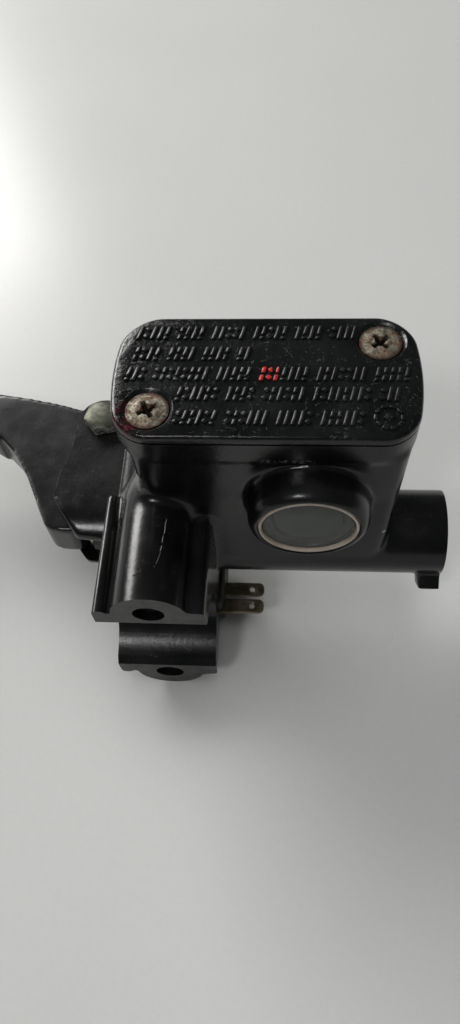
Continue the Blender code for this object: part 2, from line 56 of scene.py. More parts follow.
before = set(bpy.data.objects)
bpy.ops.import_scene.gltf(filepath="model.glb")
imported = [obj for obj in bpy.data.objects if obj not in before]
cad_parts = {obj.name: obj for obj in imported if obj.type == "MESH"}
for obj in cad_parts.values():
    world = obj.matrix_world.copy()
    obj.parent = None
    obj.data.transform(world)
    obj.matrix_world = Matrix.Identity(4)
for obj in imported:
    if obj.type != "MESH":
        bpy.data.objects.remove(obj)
cad_low, cad_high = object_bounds()

MM = 0.001


def corners(node):
    """A CAD node's lowest and highest corners, in millimetres."""
    low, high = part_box(node)
    return Vector(low) / MM, Vector(high) / MM


def middle(node):
    low, high = corners(node)
    return (low + high) / 2


# Sizes taken from the frame
BODY_HIGH = corners("body_casting")[1]
LID_LOW, LID_HIGH = corners("reservoir_lid")
RING_LOW, RING_HIGH = corners("sight_ring")
LENS_LOW, LENS_HIGH = corners("sight_lens")
SCREW_FRONT, SCREW_REAR = middle("lid_screw_front"), middle("lid_screw_rear")
PIVOT = middle("pivot_bolt").to_2d()
BARREL_END = BODY_HIGH.x - 0.5
BARREL_Y = middle("piston").y
SIGHT = (middle("sight_ring").x, middle("sight_ring").z)
HOUSING_LOW, HOUSING_HIGH = corners("switch_housing")
LEVER_LOW, LEVER_HIGH = corners("brake_lever")

# Sizes of the casting that the frame's boxes don't give
BAR_RADIUS = 11.1
CLAMP_LEFT, CLAMP_RIGHT, CLAMP_TOP = -10.7, 11.2, 17.4
CLAMP_BOLT_X, CLAMP_BOLT_Z, CLAMP_HOLE = 0.4, 17.0, 3.1
COLUMN_RADIUS = 7.3
UPPER_DEPTH, LOWER_DEPTH = 26.4, 13.6
UPPER_HOLE_DEPTH, LOWER_HOLE_DEPTH = 21.0, 11.8
BARREL_RADIUS, BARREL_MOUTH = 9.2, -9.6
BORE_RADIUS, BORE_END = 5.5, 45.0
EAR_TOP, EAR_FLAT, SLOT_HALF, LEVER_HALF = 9.2, 8.9, 5.3, 5.0
EAR_BOSS, HUB_RADIUS, PIVOT_HOLE = 6.4, 6.4, 3.3
FLANGE_BOTTOM, RIM_TOP, CAVITY_FLOOR = 37.0, 42.4, 12.0
TANK_CORNERS = (6.0, 5.5, 6.5, 7.0)  # front left, front right, back right, back left
TANK_BOW = 2.0  # by which the short sides are bowed out in their middle
# levels of the tank's walls: z, then the rider's side, the outlet's side and the far side
WALL_LEVELS = (
    (-3.0, 19.5, 45.8, 37.0),
    (4.0, 19.5, 46.8, 40.0),
    (10.5, 20.2, 47.4, 48.2),
    (24.0, 21.7, 48.0, 48.6),
    (38.0, 21.9, 48.4, 49.2),
)
WALL_LEFT, WALL_CORNERS = -2.4, (2.0, 2.6, 6.0, 6.0)
SIGHT_FACE, SIGHT_RECESS, SIGHT_SEAT, SIGHT_HOLE = 14.7, 9.7, 19.0, 7.0
KNOCKER, KNOCKER_RADIUS = (-22.0, 28.0), 4.0
FINGER, FINGER_RADIUS = (-19.9, 28.5), 1.8
SWITCH_SCREW = middle("switch_screw").to_2d()


# Shapes


def in_space(axis, along, u, v):
    """A point at (u, v) across an axis, as x, y, z."""
    return {"x": (along, u, v), "y": (u, along, v), "z": (u, v, along)}[axis]


def arc(centre, radius, start, end, steps):
    """Points on a circle, from one angle to another, in degrees."""
    angles = [math.radians(start + (end - start) * i / steps) for i in range(steps + 1)]
    return [(centre[0] + radius * math.cos(a), centre[1] + radius * math.sin(a)) for a in angles]


def circle(centre, radius, segments):
    return arc(centre, radius, 0, 360, segments)[:-1]


def rounded_rectangle(centre, size, radii, steps=8):
    """An outline whose corners, from the low-low one on, counterclockwise, have these radii."""
    signs = ((-1, -1), (1, -1), (1, 1), (-1, 1))
    outline = []
    for corner, ((sx, sy), radius) in enumerate(zip(signs, radii)):
        place = (centre[0] + sx * (size[0] / 2 - radius), centre[1] + sy * (size[1] / 2 - radius))
        outline += arc(place, radius, 180 + 90 * corner, 270 + 90 * corner, steps)
    return outline


def object_of(name, bm):
    """Links a closed bmesh, built in millimetres, as an object."""
    bmesh.ops.scale(bm, vec=(MM, MM, MM), verts=bm.verts)
    bmesh.ops.recalc_face_normals(bm, faces=bm.faces)
    mesh = bpy.data.meshes.new(name)
    bm.to_mesh(mesh)
    bm.free()
    made = bpy.data.objects.new(name, mesh)
    bpy.context.scene.collection.objects.link(made)
    return made


def loft(name, rings):
    """A closed solid through rings of equally many points."""
    bm = bmesh.new()
    loops = [[bm.verts.new(point) for point in ring] for ring in rings]
    for lower, upper in zip(loops, loops[1:]):
        for i in range(len(lower)):
            j = (i + 1) % len(lower)
            bm.faces.new((lower[i], lower[j], upper[j], upper[i]))
    bm.faces.new(loops[0])
    bm.faces.new(loops[-1])
    return object_of(name, bm)


def prism(axis, outline, low, high, name="tool"):
    return loft(name, [[in_space(axis, t, u, v) for u, v in outline] for t in (low, high)])


def block(low, high, name="tool"):
    outline = [(low[0], low[1]), (high[0], low[1]), (high[0], high[1]), (low[0], high[1])]
    return prism("z", outline, low[2], high[2], name)


def rod(axis, centre, radius, low, high, segments=64, name="tool"):
    return prism(axis, circle(centre, radius, segments), low, high, name)


def turned(axis, centre, profile, segments=72, name="tool"):
    """A closed profile of (radius, along) points turned about an axis."""
    bm = bmesh.new()
    points = [bm.verts.new(in_space(axis, t, centre[0] + r, centre[1])) for r, t in profile]
    for i, point in enumerate(points):
        bm.edges.new((point, points[(i + 1) % len(points)]))
    geometry = bm.verts[:] + bm.edges[:]
    centre_point, direction = in_space(axis, 0, *centre), in_space(axis, 1, 0, 0)
    bmesh.ops.spin(
        bm, geom=geometry, cent=centre_point, axis=direction, angle=math.tau, steps=segments, use_merge=True
    )
    bmesh.ops.remove_doubles(bm, verts=bm.verts, dist=1e-4)
    on_axis = [e for e in bm.edges if not e.link_faces]
    bmesh.ops.delete(bm, geom=on_axis, context="EDGES")
    return object_of(name, bm)


def hexagon(centre, flats, turn):
    return arc(centre, flats / math.sqrt(3), turn, turn + 360, 6)[:-1]


def rounded(profile, radius, steps=4):
    """A closed profile with each corner rounded, as far as its sides leave room."""
    points = []
    for i, corner in enumerate(profile):
        corner = Vector(corner)
        before, after = Vector(profile[i - 1]) - corner, Vector(profile[(i + 1) % len(profile)]) - corner
        if corner.x < 1e-6:
            points.append(tuple(corner))
            continue
        reach = min(radius, 0.45 * before.length, 0.45 * after.length)
        start, end = corner + before.normalized() * reach, corner + after.normalized() * reach
        for s in range(steps + 1):
            t = s / steps
            points.append(tuple((1 - t) ** 2 * start + 2 * t * (1 - t) * corner + t * t * end))
    return points


def evaluated(target):
    """Applies a piece's modifiers to its mesh."""
    bpy.context.view_layer.update()
    shape = bpy.data.meshes.new_from_object(target.evaluated_get(bpy.context.evaluated_depsgraph_get()))
    target.modifiers.clear()
    target.data = shape


def join(name, parts):
    """Several meshes as one, overlapping or not."""
    bm = bmesh.new()
    for part in parts:
        part.data.transform(part.matrix_world)
        bm.from_mesh(part.data)
        bpy.data.objects.remove(part)
    mesh = bpy.data.meshes.new(name)
    bm.to_mesh(mesh)
    bm.free()
    made = bpy.data.objects.new(name, mesh)
    bpy.context.scene.collection.objects.link(made)
    return made


def combine(target, tool, operation):
    """Applies one Boolean to target and removes the tool."""
    modifier = target.modifiers.new(operation.lower(), "BOOLEAN")
    modifier.operation = operation
    modifier.solver = "MANIFOLD"
    modifier.object = tool
    evaluated(target)
    bpy.data.objects.remove(tool)


def fuse(target, *tools):
    for tool in tools:
        combine(target, tool, "UNION")


def cut(target, *tools):
    for tool in tools:
        combine(target, tool, "DIFFERENCE")


def relax(target, rounds, weight=None):
    """Rounds edges and fills corners by moving each point towards the middle of its neighbours."""
    mesh = target.data
    count = len(mesh.vertices)
    co = np.empty(count * 3)
    mesh.vertices.foreach_get("co", co)
    co = co.reshape(-1, 3)
    ends = np.empty(len(mesh.edges) * 2, np.int64)
    mesh.edges.foreach_get("vertices", ends)
    a, b = ends.reshape(-1, 2).T
    neighbours = np.bincount(ends, minlength=count)[:, None]
    share = 0.5 if weight is None else 0.5 * weight(co / MM)[:, None]
    for _ in range(rounds):
        total = np.empty_like(co)
        for k in range(3):
            total[:, k] = np.bincount(a, co[b, k], count) + np.bincount(b, co[a, k], count)
        co += share * (total / neighbours - co)
    mesh.vertices.foreach_set("co", co.ravel())
    mesh.update()


def cast(name, parts, voxel, rounds):
    """One skin round overlapping solids, with the rounded edges and corners of a casting."""
    made = join(name, parts)
    modifier = made.modifiers.new("skin", "REMESH")
    modifier.mode = "VOXEL"
    modifier.voxel_size = voxel * MM
    evaluated(made)
    relax(made, rounds)
    return made


def softly_inside(low, high, soft):
    """A weight for relax: 1 inside a box, fading to 0 over a distance around it."""
    low, high = np.array(low), np.array(high)

    def weight(points):
        outside = np.maximum(np.maximum(low - points, points - high), 0)
        return np.clip(1 - np.linalg.norm(outside, axis=1) / soft, 0, 1)

    return weight


def shade(made, angle=30):
    made.data.shade_smooth()
    made.data.set_sharp_from_angle(angle=math.radians(angle))


# Materials


class Surface:
    """A material's nodes, with short calls that each return an output socket."""

    def __init__(self, name):
        self.material = bpy.data.materials.new(name)
        self.material.use_nodes = True
        self.nodes = self.material.node_tree.nodes
        self.links = self.material.node_tree.links
        self.shader = self.nodes["Principled BSDF"]
        self.place = self.nodes.new("ShaderNodeTexCoord").outputs["Object"]

    def put(self, value, socket):
        if isinstance(value, bpy.types.NodeSocket):
            self.links.new(value, socket)
        elif isinstance(value, (tuple, list)) and len(value) == 3 and socket.type == "RGBA":
            socket.default_value = (*value, 1.0)
        else:
            socket.default_value = value

    def noise(self, size, detail=4.0, rough=0.55, distortion=0.0, where=None):
        """Noise from 0 to 1 whose features are about this many millimetres across."""
        node = self.nodes.new("ShaderNodeTexNoise")
        self.put(self.place if where is None else where, node.inputs["Vector"])
        node.inputs["Scale"].default_value = 1 / (size * MM)
        node.inputs["Detail"].default_value = detail
        node.inputs["Roughness"].default_value = rough
        node.inputs["Distortion"].default_value = distortion
        return node.outputs["Fac"]

    def cells(self, size, feature="F1"):
        """Distance to the nearest of scattered points, about this many millimetres apart."""
        node = self.nodes.new("ShaderNodeTexVoronoi")
        node.feature = feature
        self.put(self.place, node.inputs["Vector"])
        node.inputs["Scale"].default_value = 1 / (size * MM)
        return node.outputs["Distance"]

    def math(self, operation, a, b=0.0, c=0.0):
        node = self.nodes.new("ShaderNodeMath")
        node.operation = operation
        for value, socket in zip((a, b, c), node.inputs):
            self.put(value, socket)
        return node.outputs[0]

    def times(self, a, b):
        return self.math("MULTIPLY", a, b)

    def step(self, value, low, high, out_low=0.0, out_high=1.0):
        """A smooth change from out_low to out_high as value goes from low to high."""
        node = self.nodes.new("ShaderNodeMapRange")
        node.interpolation_type = "SMOOTHSTEP"
        numbers = (value, low, high, out_low, out_high)
        for number, socket in zip(numbers, node.inputs):
            self.put(number, socket)
        return node.outputs[0]

    def mix(self, share, a, b):
        """Colour a where share is 0 and b where it is 1."""
        node = self.nodes.new("ShaderNodeMix")
        node.data_type = "RGBA"
        self.put(share, node.inputs["Factor"])
        self.put(a, node.inputs[6])
        self.put(b, node.inputs[7])
        return node.outputs[2]

    def axes(self):
        """The three coordinates, in metres, as sockets."""
        node = self.nodes.new("ShaderNodeSeparateXYZ")
        self.put(self.place, node.inputs[0])
        return node.outputs[0], node.outputs[1], node.outputs[2]

    def normal_axes(self):
        node = self.nodes.new("ShaderNodeSeparateXYZ")
        self.put(self.nodes.new("ShaderNodeTexCoord").outputs["Normal"], node.inputs[0])
        return node.outputs[0], node.outputs[1], node.outputs[2]

    def away_from(self, point):
        """Distance in millimetres from a point."""
        node = self.nodes.new("ShaderNodeVectorMath")
        node.operation = "DISTANCE"
        self.put(self.place, node.inputs[0])
        node.inputs[1].default_value = [c * MM for c in point]
        return self.times(node.outputs["Value"], 1 / MM)

    def bump(self, height, depth, below=None):
        """A bump as deep as depth millimetres where height is 1."""
        node = self.nodes.new("ShaderNodeBump")
        self.put(height, node.inputs["Height"])
        node.inputs["Distance"].default_value = depth * MM
        if below is not None:
            self.put(below, node.inputs["Normal"])
        return node.outputs["Normal"]

    def finish(self, colour, roughness, metallic=0.0, normal=None, **fixed):
        self.put(colour, self.shader.inputs["Base Color"])
        self.put(roughness, self.shader.inputs["Roughness"])
        self.put(metallic, self.shader.inputs["Metallic"])
        if normal is not None:
            self.put(normal, self.shader.inputs["Normal"])
        for name, value in fixed.items():
            self.put(value, self.shader.inputs[name.replace("_", " ")])
        return self.material


def line_mask(surface, axes, start, end, width):
    """1 on a thin line between two points, given in two of the coordinates, in millimetres."""
    (ax, ay), (bx, by) = start, end
    length = math.hypot(bx - ax, by - ay)
    ux, uy = (bx - ax) / length, (by - ay) / length
    u, v = (surface.times(a, 1 / MM) for a in axes)
    du, dv = surface.math("SUBTRACT", u, ax), surface.math("SUBTRACT", v, ay)
    along = surface.math("ADD", surface.times(du, ux), surface.times(dv, uy))
    off = surface.math("SUBTRACT", surface.times(du, uy), surface.times(dv, ux))
    off = surface.math("ADD", off, surface.times(surface.noise(3.0, 2.0), 0.6))
    distance = surface.math("ABSOLUTE", surface.math("SUBTRACT", off, 0.3))
    near = surface.step(distance, 0.5 * width, width, 1, 0)
    before_end = surface.step(along, length, length + 0.4, 1, 0)
    inside = surface.times(surface.step(along, -0.2, 0.2), before_end)
    return surface.times(near, inside)


def casting_paint():
    s = Surface("body_paint")
    x, y, z = s.axes()
    _, ny, nz = s.normal_axes()
    clouds = s.noise(14.0, 5.0, 0.6)
    grain = s.noise(0.7, 3.0, 0.6)
    orange_peel = s.noise(1.6, 2.0, 0.5)
    colour = s.mix(s.step(clouds, 0.35, 0.75), (0.003, 0.003, 0.0032), (0.0085, 0.0085, 0.009))
    dust = s.times(s.step(nz, 0.35, 0.95), s.step(s.noise(2.3, 8.0, 0.75), 0.5, 0.8))
    colour = s.mix(s.times(dust, 0.12), colour, (0.06, 0.057, 0.052))
    speckled = s.step(s.noise(9.0, 2.0), 0.55, 0.65)
    specks = s.times(s.step(s.cells(2.6), 0.03, 0.08, 1, 0), speckled)
    colour = s.mix(s.times(specks, 0.35), colour, (0.3, 0.29, 0.27))
    scratch = line_mask(s, (x, y), (3.3, 17.0), (2.7, 10.2), 0.07)
    faint = s.times(line_mask(s, (x, y), (2.8, 9.8), (2.0, 6.8), 0.05), 0.4)
    scratch = s.times(s.math("MAXIMUM", scratch, faint), s.step(s.noise(0.9, 3.0), 0.4, 0.52))
    on_column = s.step(z, 0.0195, 0.0205)
    scratch = s.times(scratch, on_column)
    nick_left = line_mask(s, (x, y), (-1.8, 4.9), (-0.6, 5.7), 0.2)
    nick_right = line_mask(s, (x, y), (-0.6, 5.7), (0.7, 4.9), 0.2)
    nick = s.times(s.math("MAXIMUM", nick_left, nick_right), on_column)
    chip = s.step(s.away_from((46.0, 21.0, 13.0)), 0.35, 0.6, 1, 0)
    rim = s.times(s.step(z, 0.0366, 0.0372), s.step(z, 0.0376, 0.0382, 1, 0))
    scuff = s.times(rim, s.step(s.away_from((25.5, 21.6, 37.2)), 3.5, 6.5, 1, 0))
    scuff = s.times(scuff, s.step(s.noise(0.8, 5.0, 0.75), 0.46, 0.6, 0.0, 0.4))
    worn = s.math("MAXIMUM", s.math("MAXIMUM", scratch, chip), scuff)
    colour = s.mix(s.times(worn, 0.8), colour, (0.42, 0.41, 0.38))
    face = s.times(s.step(y, 0.00002, 0.00006, 1, 0), s.step(ny, -0.98, -0.9, 1, 0))
    ground = s.mix(s.step(s.noise(3.0, 6.0, 0.7), 0.35, 0.65), (0.022, 0.022, 0.021), (0.055, 0.053, 0.05))
    colour = s.mix(face, colour, ground)
    roughness = s.step(clouds, 0.25, 0.8, 0.19, 0.3)
    roughness = s.math("ADD", roughness, s.times(dust, 0.12))
    roughness = s.math("MAXIMUM", roughness, s.times(face, 0.55))
    normal = s.bump(nick, 0.3, s.bump(orange_peel, 0.022, s.bump(grain, 0.02)))
    return s.finish(colour, roughness, 0.0, normal, Specular_IOR_Level=0.5)


def lid_paint():
    s = Surface("lid_paint")
    x, y, z = s.axes()
    clouds = s.noise(11.0, 5.0, 0.65)
    colour = s.mix(s.step(clouds, 0.35, 0.7), (0.003, 0.0032, 0.0032), (0.0095, 0.01, 0.01))
    edge = s.step(x, LID_LOW.x * MM + 0.034, LID_HIGH.x * MM - 0.004, 0.0, 0.12)
    patchy = s.step(s.math("ADD", s.noise(7.0, 3.0, 0.6), edge), 0.42, 0.66)
    grit = s.step(s.noise(0.6, 5.0, 0.8), 0.58, 0.7)
    specks = s.times(grit, patchy)
    colour = s.mix(s.times(specks, 0.45), colour, (0.30, 0.30, 0.29))
    raised = s.step(z, LID_HIGH.z * MM - 0.00022, LID_HIGH.z * MM - 0.00012)
    red = s.times(red_area(s, x, y), s.step(s.noise(0.9, 4.0, 0.7), 0.36, 0.52))
    red = s.times(red, raised)
    colour = s.mix(red, colour, (0.46, 0.022, 0.018))
    corner = s.step(s.away_from((SCREW_FRONT.x - 2.6, SCREW_FRONT.y - 2.2, LID_HIGH.z)), 3.2, 5.4, 1, 0)
    stain = s.times(corner, s.step(s.noise(2.2, 5.0, 0.7), 0.4, 0.62))
    colour = s.mix(s.times(stain, 0.8), colour, (0.075, 0.006, 0.012))
    roughness = s.step(clouds, 0.3, 0.75, 0.11, 0.22)
    roughness = s.math("ADD", roughness, s.times(s.math("MAXIMUM", specks, raised), 0.14))
    normal = s.bump(s.noise(0.5, 4.0, 0.7), 0.05, s.bump(s.noise(2.2, 2.0, 0.5), 0.12))
    normal = s.bump(specks, 0.08, normal)
    return s.finish(colour, roughness, 0.0, normal, Specular_IOR_Level=0.5)


def red_area(s, x, y):
    """1 on the small patch of red paint near the lid's centre."""
    u = s.math("ABSOLUTE", s.math("SUBTRACT", s.times(x, 1 / MM), 22.5))
    v = s.math("ABSOLUTE", s.math("SUBTRACT", s.times(y, 1 / MM), 35.6))
    return s.times(s.step(u, 1.9, 2.2, 1, 0), s.step(v, 1.8, 2.1, 1, 0))


def rusty_screw(name, place, top):
    """Worn zinc under rust, with painted shade down in the recess."""
    s = Surface(name)
    z = s.axes()[2]
    from_axis = s.away_from((place.x, place.y, top))
    rust = s.step(s.noise(1.0, 8.0, 0.75), 0.46, 0.6)
    colour = s.mix(s.step(s.noise(1.3, 6.0, 0.7), 0.38, 0.62), (0.14, 0.13, 0.09), (0.42, 0.41, 0.33))
    colour = s.mix(s.times(rust, 0.85), colour, (0.15, 0.055, 0.025))
    pits = s.step(s.noise(0.6, 6.0, 0.75), 0.5, 0.6)
    colour = s.mix(s.times(pits, 0.8), colour, (0.04, 0.022, 0.015))
    uneven = s.step(s.noise(1.0, 5.0, 0.7), 0.3, 0.6, 0.45, 1.0)
    rim = s.times(s.step(from_axis, 3.1, 3.8), uneven)
    colour = s.mix(rim, colour, (0.05, 0.018, 0.012))
    # painted shade: the cross recess goes nearly black the deeper it lies below the head's top
    dark = s.step(z, (top - 0.85) * MM, (top - 0.3) * MM, 1, 0)
    dark = s.times(dark, s.step(from_axis, 2.6, 3.0, 1, 0))
    colour = s.mix(s.times(dark, 0.92), colour, (0.018, 0.009, 0.007))
    roughness = s.step(s.noise(1.0, 5.0), 0.3, 0.7, 0.42, 0.75)
    metallic = s.step(rust, 0.2, 0.8, 0.75, 0.15)
    normal = s.bump(s.noise(0.45, 6.0, 0.75), 0.09)
    return s.finish(colour, roughness, metallic, normal)


def metal(name, light, dark, roughness, grain=0.5, depth=0.02, rust=None, rusted=0.5):
    """Bare or plated metal: two tones, fine grain and, where asked, patches of rust."""
    s = Surface(name)
    tone = s.step(s.noise(grain * 6, 6.0, 0.65), 0.3, 0.7)
    colour = s.mix(tone, dark, light)
    metallic = 0.9
    rough = s.step(s.noise(grain * 4, 5.0, 0.6), 0.3, 0.7, roughness - 0.1, roughness + 0.14)
    if rust is not None:
        patches = s.step(s.noise(grain * 5, 9.0, 0.75), rusted, rusted + 0.14)
        colour = s.mix(patches, colour, rust)
        metallic = s.step(patches, 0.0, 1.0, 0.9, 0.1)
        rough = s.math("ADD", rough, s.times(patches, 0.2))
    return s.finish(colour, rough, metallic, s.bump(s.noise(grain, 6.0, 0.7), depth))


def plastic(name, light, dark, roughness, size=6.0, depth=0.02, dirt=None):
    """Moulded plastic or rubber: a slow change of tone, fine texture and, where asked, dirt."""
    s = Surface(name)
    colour = s.mix(s.step(s.noise(size, 5.0, 0.6), 0.3, 0.7), dark, light)
    rough = s.step(s.noise(size * 0.6, 4.0), 0.3, 0.7, roughness - 0.08, roughness + 0.1)
    if dirt is not None:
        spots = s.step(s.noise(size * 0.35, 8.0, 0.75), 0.52, 0.72)
        colour = s.mix(s.times(spots, 0.7), colour, dirt)
        rough = s.math("ADD", rough, s.times(spots, 0.15))
    return s.finish(colour, rough, 0.0, s.bump(s.noise(size * 0.12, 4.0, 0.6), depth))


def lever_paint():
    s = Surface("lever_paint")
    nz = s.normal_axes()[2]
    clouds = s.noise(16.0, 5.0, 0.6)
    colour = s.mix(s.step(clouds, 0.3, 0.7), (0.004, 0.004, 0.0045), (0.01, 0.01, 0.011))
    handled = s.step(s.noise(20.0, 2.0), 0.45, 0.6)
    scuff = s.times(s.step(s.noise(1.2, 9.0, 0.8, 0.6), 0.6, 0.74), handled)
    colour = s.mix(s.times(scuff, 0.35), colour, (0.12, 0.12, 0.12))
    dust = s.times(s.step(nz, 0.5, 1.0), s.step(s.noise(4.0, 8.0, 0.7), 0.45, 0.8))
    colour = s.mix(s.times(dust, 0.12), colour, (0.08, 0.077, 0.073))
    roughness = s.math("ADD", s.step(clouds, 0.25, 0.8, 0.2, 0.32), s.times(scuff, 0.2))
    normal = s.bump(s.noise(1.3, 3.0, 0.55), 0.012, s.bump(s.noise(0.4, 3.0), 0.008))
    return s.finish(colour, roughness, 0.0, normal)


def corroded_zinc():
    """Olive-grey plating on top, with whitish corrosion down the sides."""
    s = Surface("zinc_steel")
    nz = s.normal_axes()[2]
    colour = s.mix(s.step(s.noise(1.6, 6.0, 0.7), 0.3, 0.7), (0.055, 0.06, 0.042), (0.15, 0.15, 0.115))
    side = s.step(nz, 0.3, 0.8, 1, 0)
    white = s.times(side, s.step(s.noise(1.2, 8.0, 0.7), 0.38, 0.6))
    colour = s.mix(s.times(white, 0.85), colour, (0.42, 0.43, 0.39))
    metallic = s.step(white, 0.0, 1.0, 0.7, 0.05)
    roughness = s.step(white, 0.0, 1.0, 0.42, 0.75)
    return s.finish(colour, roughness, metallic, s.bump(s.noise(0.5, 6.0, 0.7), 0.05))


def lens_glass():
    s = Surface("lens")
    haze = s.noise(3.0, 6.0, 0.65)
    colour = s.mix(s.step(haze, 0.35, 0.7), (0.42, 0.46, 0.39), (0.50, 0.53, 0.46))
    roughness = s.step(haze, 0.3, 0.75, 0.05, 0.14)
    normal = s.bump(s.noise(5.0, 3.0), 0.03)
    return s.finish(colour, roughness, 0.0, normal, Transmission_Weight=0.98, IOR=1.45)


# Casting


def tank_outline(inset=0.0):
    """The lid's outline: a rounded rectangle whose short sides bow outwards."""
    low, high = LID_LOW, LID_HIGH
    cx, cy = (low.x + high.x) / 2, (low.y + high.y) / 2
    width, depth = high.x - low.x - 2 * inset, high.y - low.y - 2 * inset
    radii = [max(r - inset, 0.5) for r in TANK_CORNERS]
    corners_only = rounded_rectangle((cx, cy), (width, depth), radii, 12)
    outline = []
    for (ax, ay), (bx, by) in zip(corners_only, corners_only[1:] + corners_only[:1]):
        count = max(1, round(abs(by - ay) / 1.5))
        outline += [(ax + (bx - ax) * i / count, ay + (by - ay) * i / count) for i in range(count)]
    bow = 2 * TANK_BOW / width
    return [(cx + (x - cx) * (1 - bow * (2 * (y - cy) / depth) ** 2), y) for x, y in outline]


def tank_masses():
    """The walls with their draft, the flange under the lid, and the flare over the lever's ear."""
    rings = []
    for z, front, right, back in WALL_LEVELS:
        centre, size = ((WALL_LEFT + right) / 2, (front + back) / 2), (right - WALL_LEFT, back - front)
        rings.append([(u, v, z) for u, v in rounded_rectangle(centre, size, WALL_CORNERS)])
    walls = loft("walls", rings)
    flange = prism("z", tank_outline(), FLANGE_BOTTOM, RIM_TOP + 2)
    flare = [(8, 5), (BARREL_MOUTH, 5), (BARREL_MOUTH, EAR_TOP)]
    flare += arc((-13.6, 26.0), 12.0, -68, 0, 12) + [(8, 30)]
    return [walls, flange, prism("y", flare, 22.0, 45.0)]


def clamp_masses(side, depth):
    """One bolt boss of the clamp, with a ridge along each edge and a round column for the bolt."""
    step = 0.9
    low, high = sorted((side * (CLAMP_TOP - step), side * 5.0))
    masses = [block((CLAMP_LEFT, -2, low), (CLAMP_RIGHT, depth, high))]
    low, high = sorted((side * (CLAMP_TOP + 0.5), side * 8.0))
    left = [(CLAMP_LEFT, -2), (CLAMP_LEFT + 2.6, -2), (CLAMP_LEFT + 2.1, depth), (CLAMP_LEFT + 0.2, depth)]
    right = [(CLAMP_RIGHT - 2.7, -2), (CLAMP_RIGHT, -2)]
    right += [(CLAMP_RIGHT - 0.8, depth), (CLAMP_RIGHT - 3.0, depth)]
    masses += [prism("z", left, low, high), prism("z", right, low, high)]
    full = (CLAMP_BOLT_X, CLAMP_BOLT_Z, COLUMN_RADIUS)
    levels = [(-2, *full), (depth, *full)]
    if side > 0:
        levels += [(32.0, 1.6, 16.4, 6.4), (38.0, 4.0, 15.0, 4.0)]
    rings = []
    for y, cx, cz, radius in levels:
        rings.append([(u, y, side * v) for u, v in circle((cx, cz), radius, 64)])
    masses.append(loft("column", rings))
    return masses


def bracket_mass():
    """Two ears: the barrel's round front side, carried on as a flat plate to the pivot."""
    section = arc((BARREL_Y, 0), BARREL_RADIUS, 90, 270, 40) + [(60, -EAR_TOP), (60, EAR_TOP)]
    bracket = prism("x", section, -27, 0)
    edge = [(0, 18), (-13.2, 21.4), (-19.2, 21.9), (-22.5, 26.2), (-25.3, 30.6)]
    edge += [(-24.7, 36.0), (-23.0, 43.0)]
    edge += arc(PIVOT, EAR_BOSS, 192, -10, 24) + [(-4.5, 41.0), (0, 37.0)]
    combine(bracket, prism("z", edge, -20, 20), "INTERSECT")
    return bracket


def casting():
    masses = [rod("x", (BARREL_Y, 0), BARREL_RADIUS, BARREL_MOUTH, BARREL_END + 1, 96), bracket_mass()]
    masses += tank_masses() + clamp_masses(1, UPPER_DEPTH) + clamp_masses(-1, LOWER_DEPTH)
    masses.append(block((CLAMP_LEFT, 2.0, -9.4), (CLAMP_RIGHT, 21.0, 9.0)))
    housing = [(0, SIGHT_FACE - 0.1), (9.9, SIGHT_FACE - 0.1), (10.6, 14.9), (11.3, 15.7), (11.7, 17.0)]
    masses.append(turned("y", SIGHT, housing + [(11.8, 18.5), (11.8, 26), (0, 26)], 96))
    lug = block((55.3, 6.0, -2.75), (60.5, 12.7, 2.75))
    lug.matrix_world = Matrix.Translation((0, BARREL_Y * MM, 0)) @ Matrix.Rotation(math.radians(223), 4, "X")
    masses.append(lug)
    body = cast("casting", masses, 0.5, 8)
    relax(body, 70, softly_inside((-5, 22.5, 17), (6, 27, 27), 4.0))
    machine_clamp(body)
    machine_lever_room(body)
    machine_barrel(body)
    machine_tank(body)
    shade(body, 28)
    return body


def machine_clamp(body):
    """The ground faces of the clamp, its saddle for the bar and the two tapped bolt holes."""
    cut(body, block((-20, -6, -30), (20, 0, 30)))
    saddle = circle((0, 0), BAR_RADIUS, 128)
    mouth = [(-1, -13.6), (2.2, -10.2), (2.2, 10.2), (-1, 13.6)]
    cut(body, prism("x", saddle, -14, 15), prism("x", mouth, -14, 15))
    for side, depth in ((1, UPPER_HOLE_DEPTH), (-1, LOWER_HOLE_DEPTH)):
        tap = [(0, -1), (CLAMP_HOLE, -1)] + thread_profile(CLAMP_HOLE, 1.0, 2.0, depth - 1.5)
        tap += [(CLAMP_HOLE - 0.4, depth - 1.5), (0, depth)]
        cut(body, turned("y", (CLAMP_BOLT_X, side * CLAMP_BOLT_Z), tap, 48))


def thread_profile(radius, pitch, low, high):
    """The zigzag of a tapped thread, as (radius, along) points."""
    count = int((high - low) / pitch)
    points = []
    for i in range(count):
        start = low + i * pitch
        points += [(radius, start), (radius - 0.4, start + 0.5 * pitch)]
    return points


def machine_lever_room(body):
    """The slot between the ears, the hub's round room, the pivot's hole and the switch window."""
    left = BARREL_MOUTH
    room = prism("z", [(-40, 5), (left, 5), (left, 70), (-40, 70)], -SLOT_HALF, SLOT_HALF)
    fuse(room, rod("z", PIVOT, HUB_RADIUS + 0.6, -SLOT_HALF, SLOT_HALF, 80))
    cut(body, room)
    top = block((-30, 30.3, EAR_FLAT), (left - 0.1, 70, 12))
    fuse(top, block((-30, 37.0, EAR_FLAT - 0.15), (left - 0.1, 71, 11)))
    cut(body, top)
    cut(body, rod("z", PIVOT, PIVOT_HOLE, -20, 20, 48))
    window = rounded_rectangle((-16.5, 28.4), (11.4, 5.0), (2.0,) * 4)
    cut(body, prism("z", window, -12, -3), rod("z", SWITCH_SCREW, 2.2, -12, -2.5, 32))


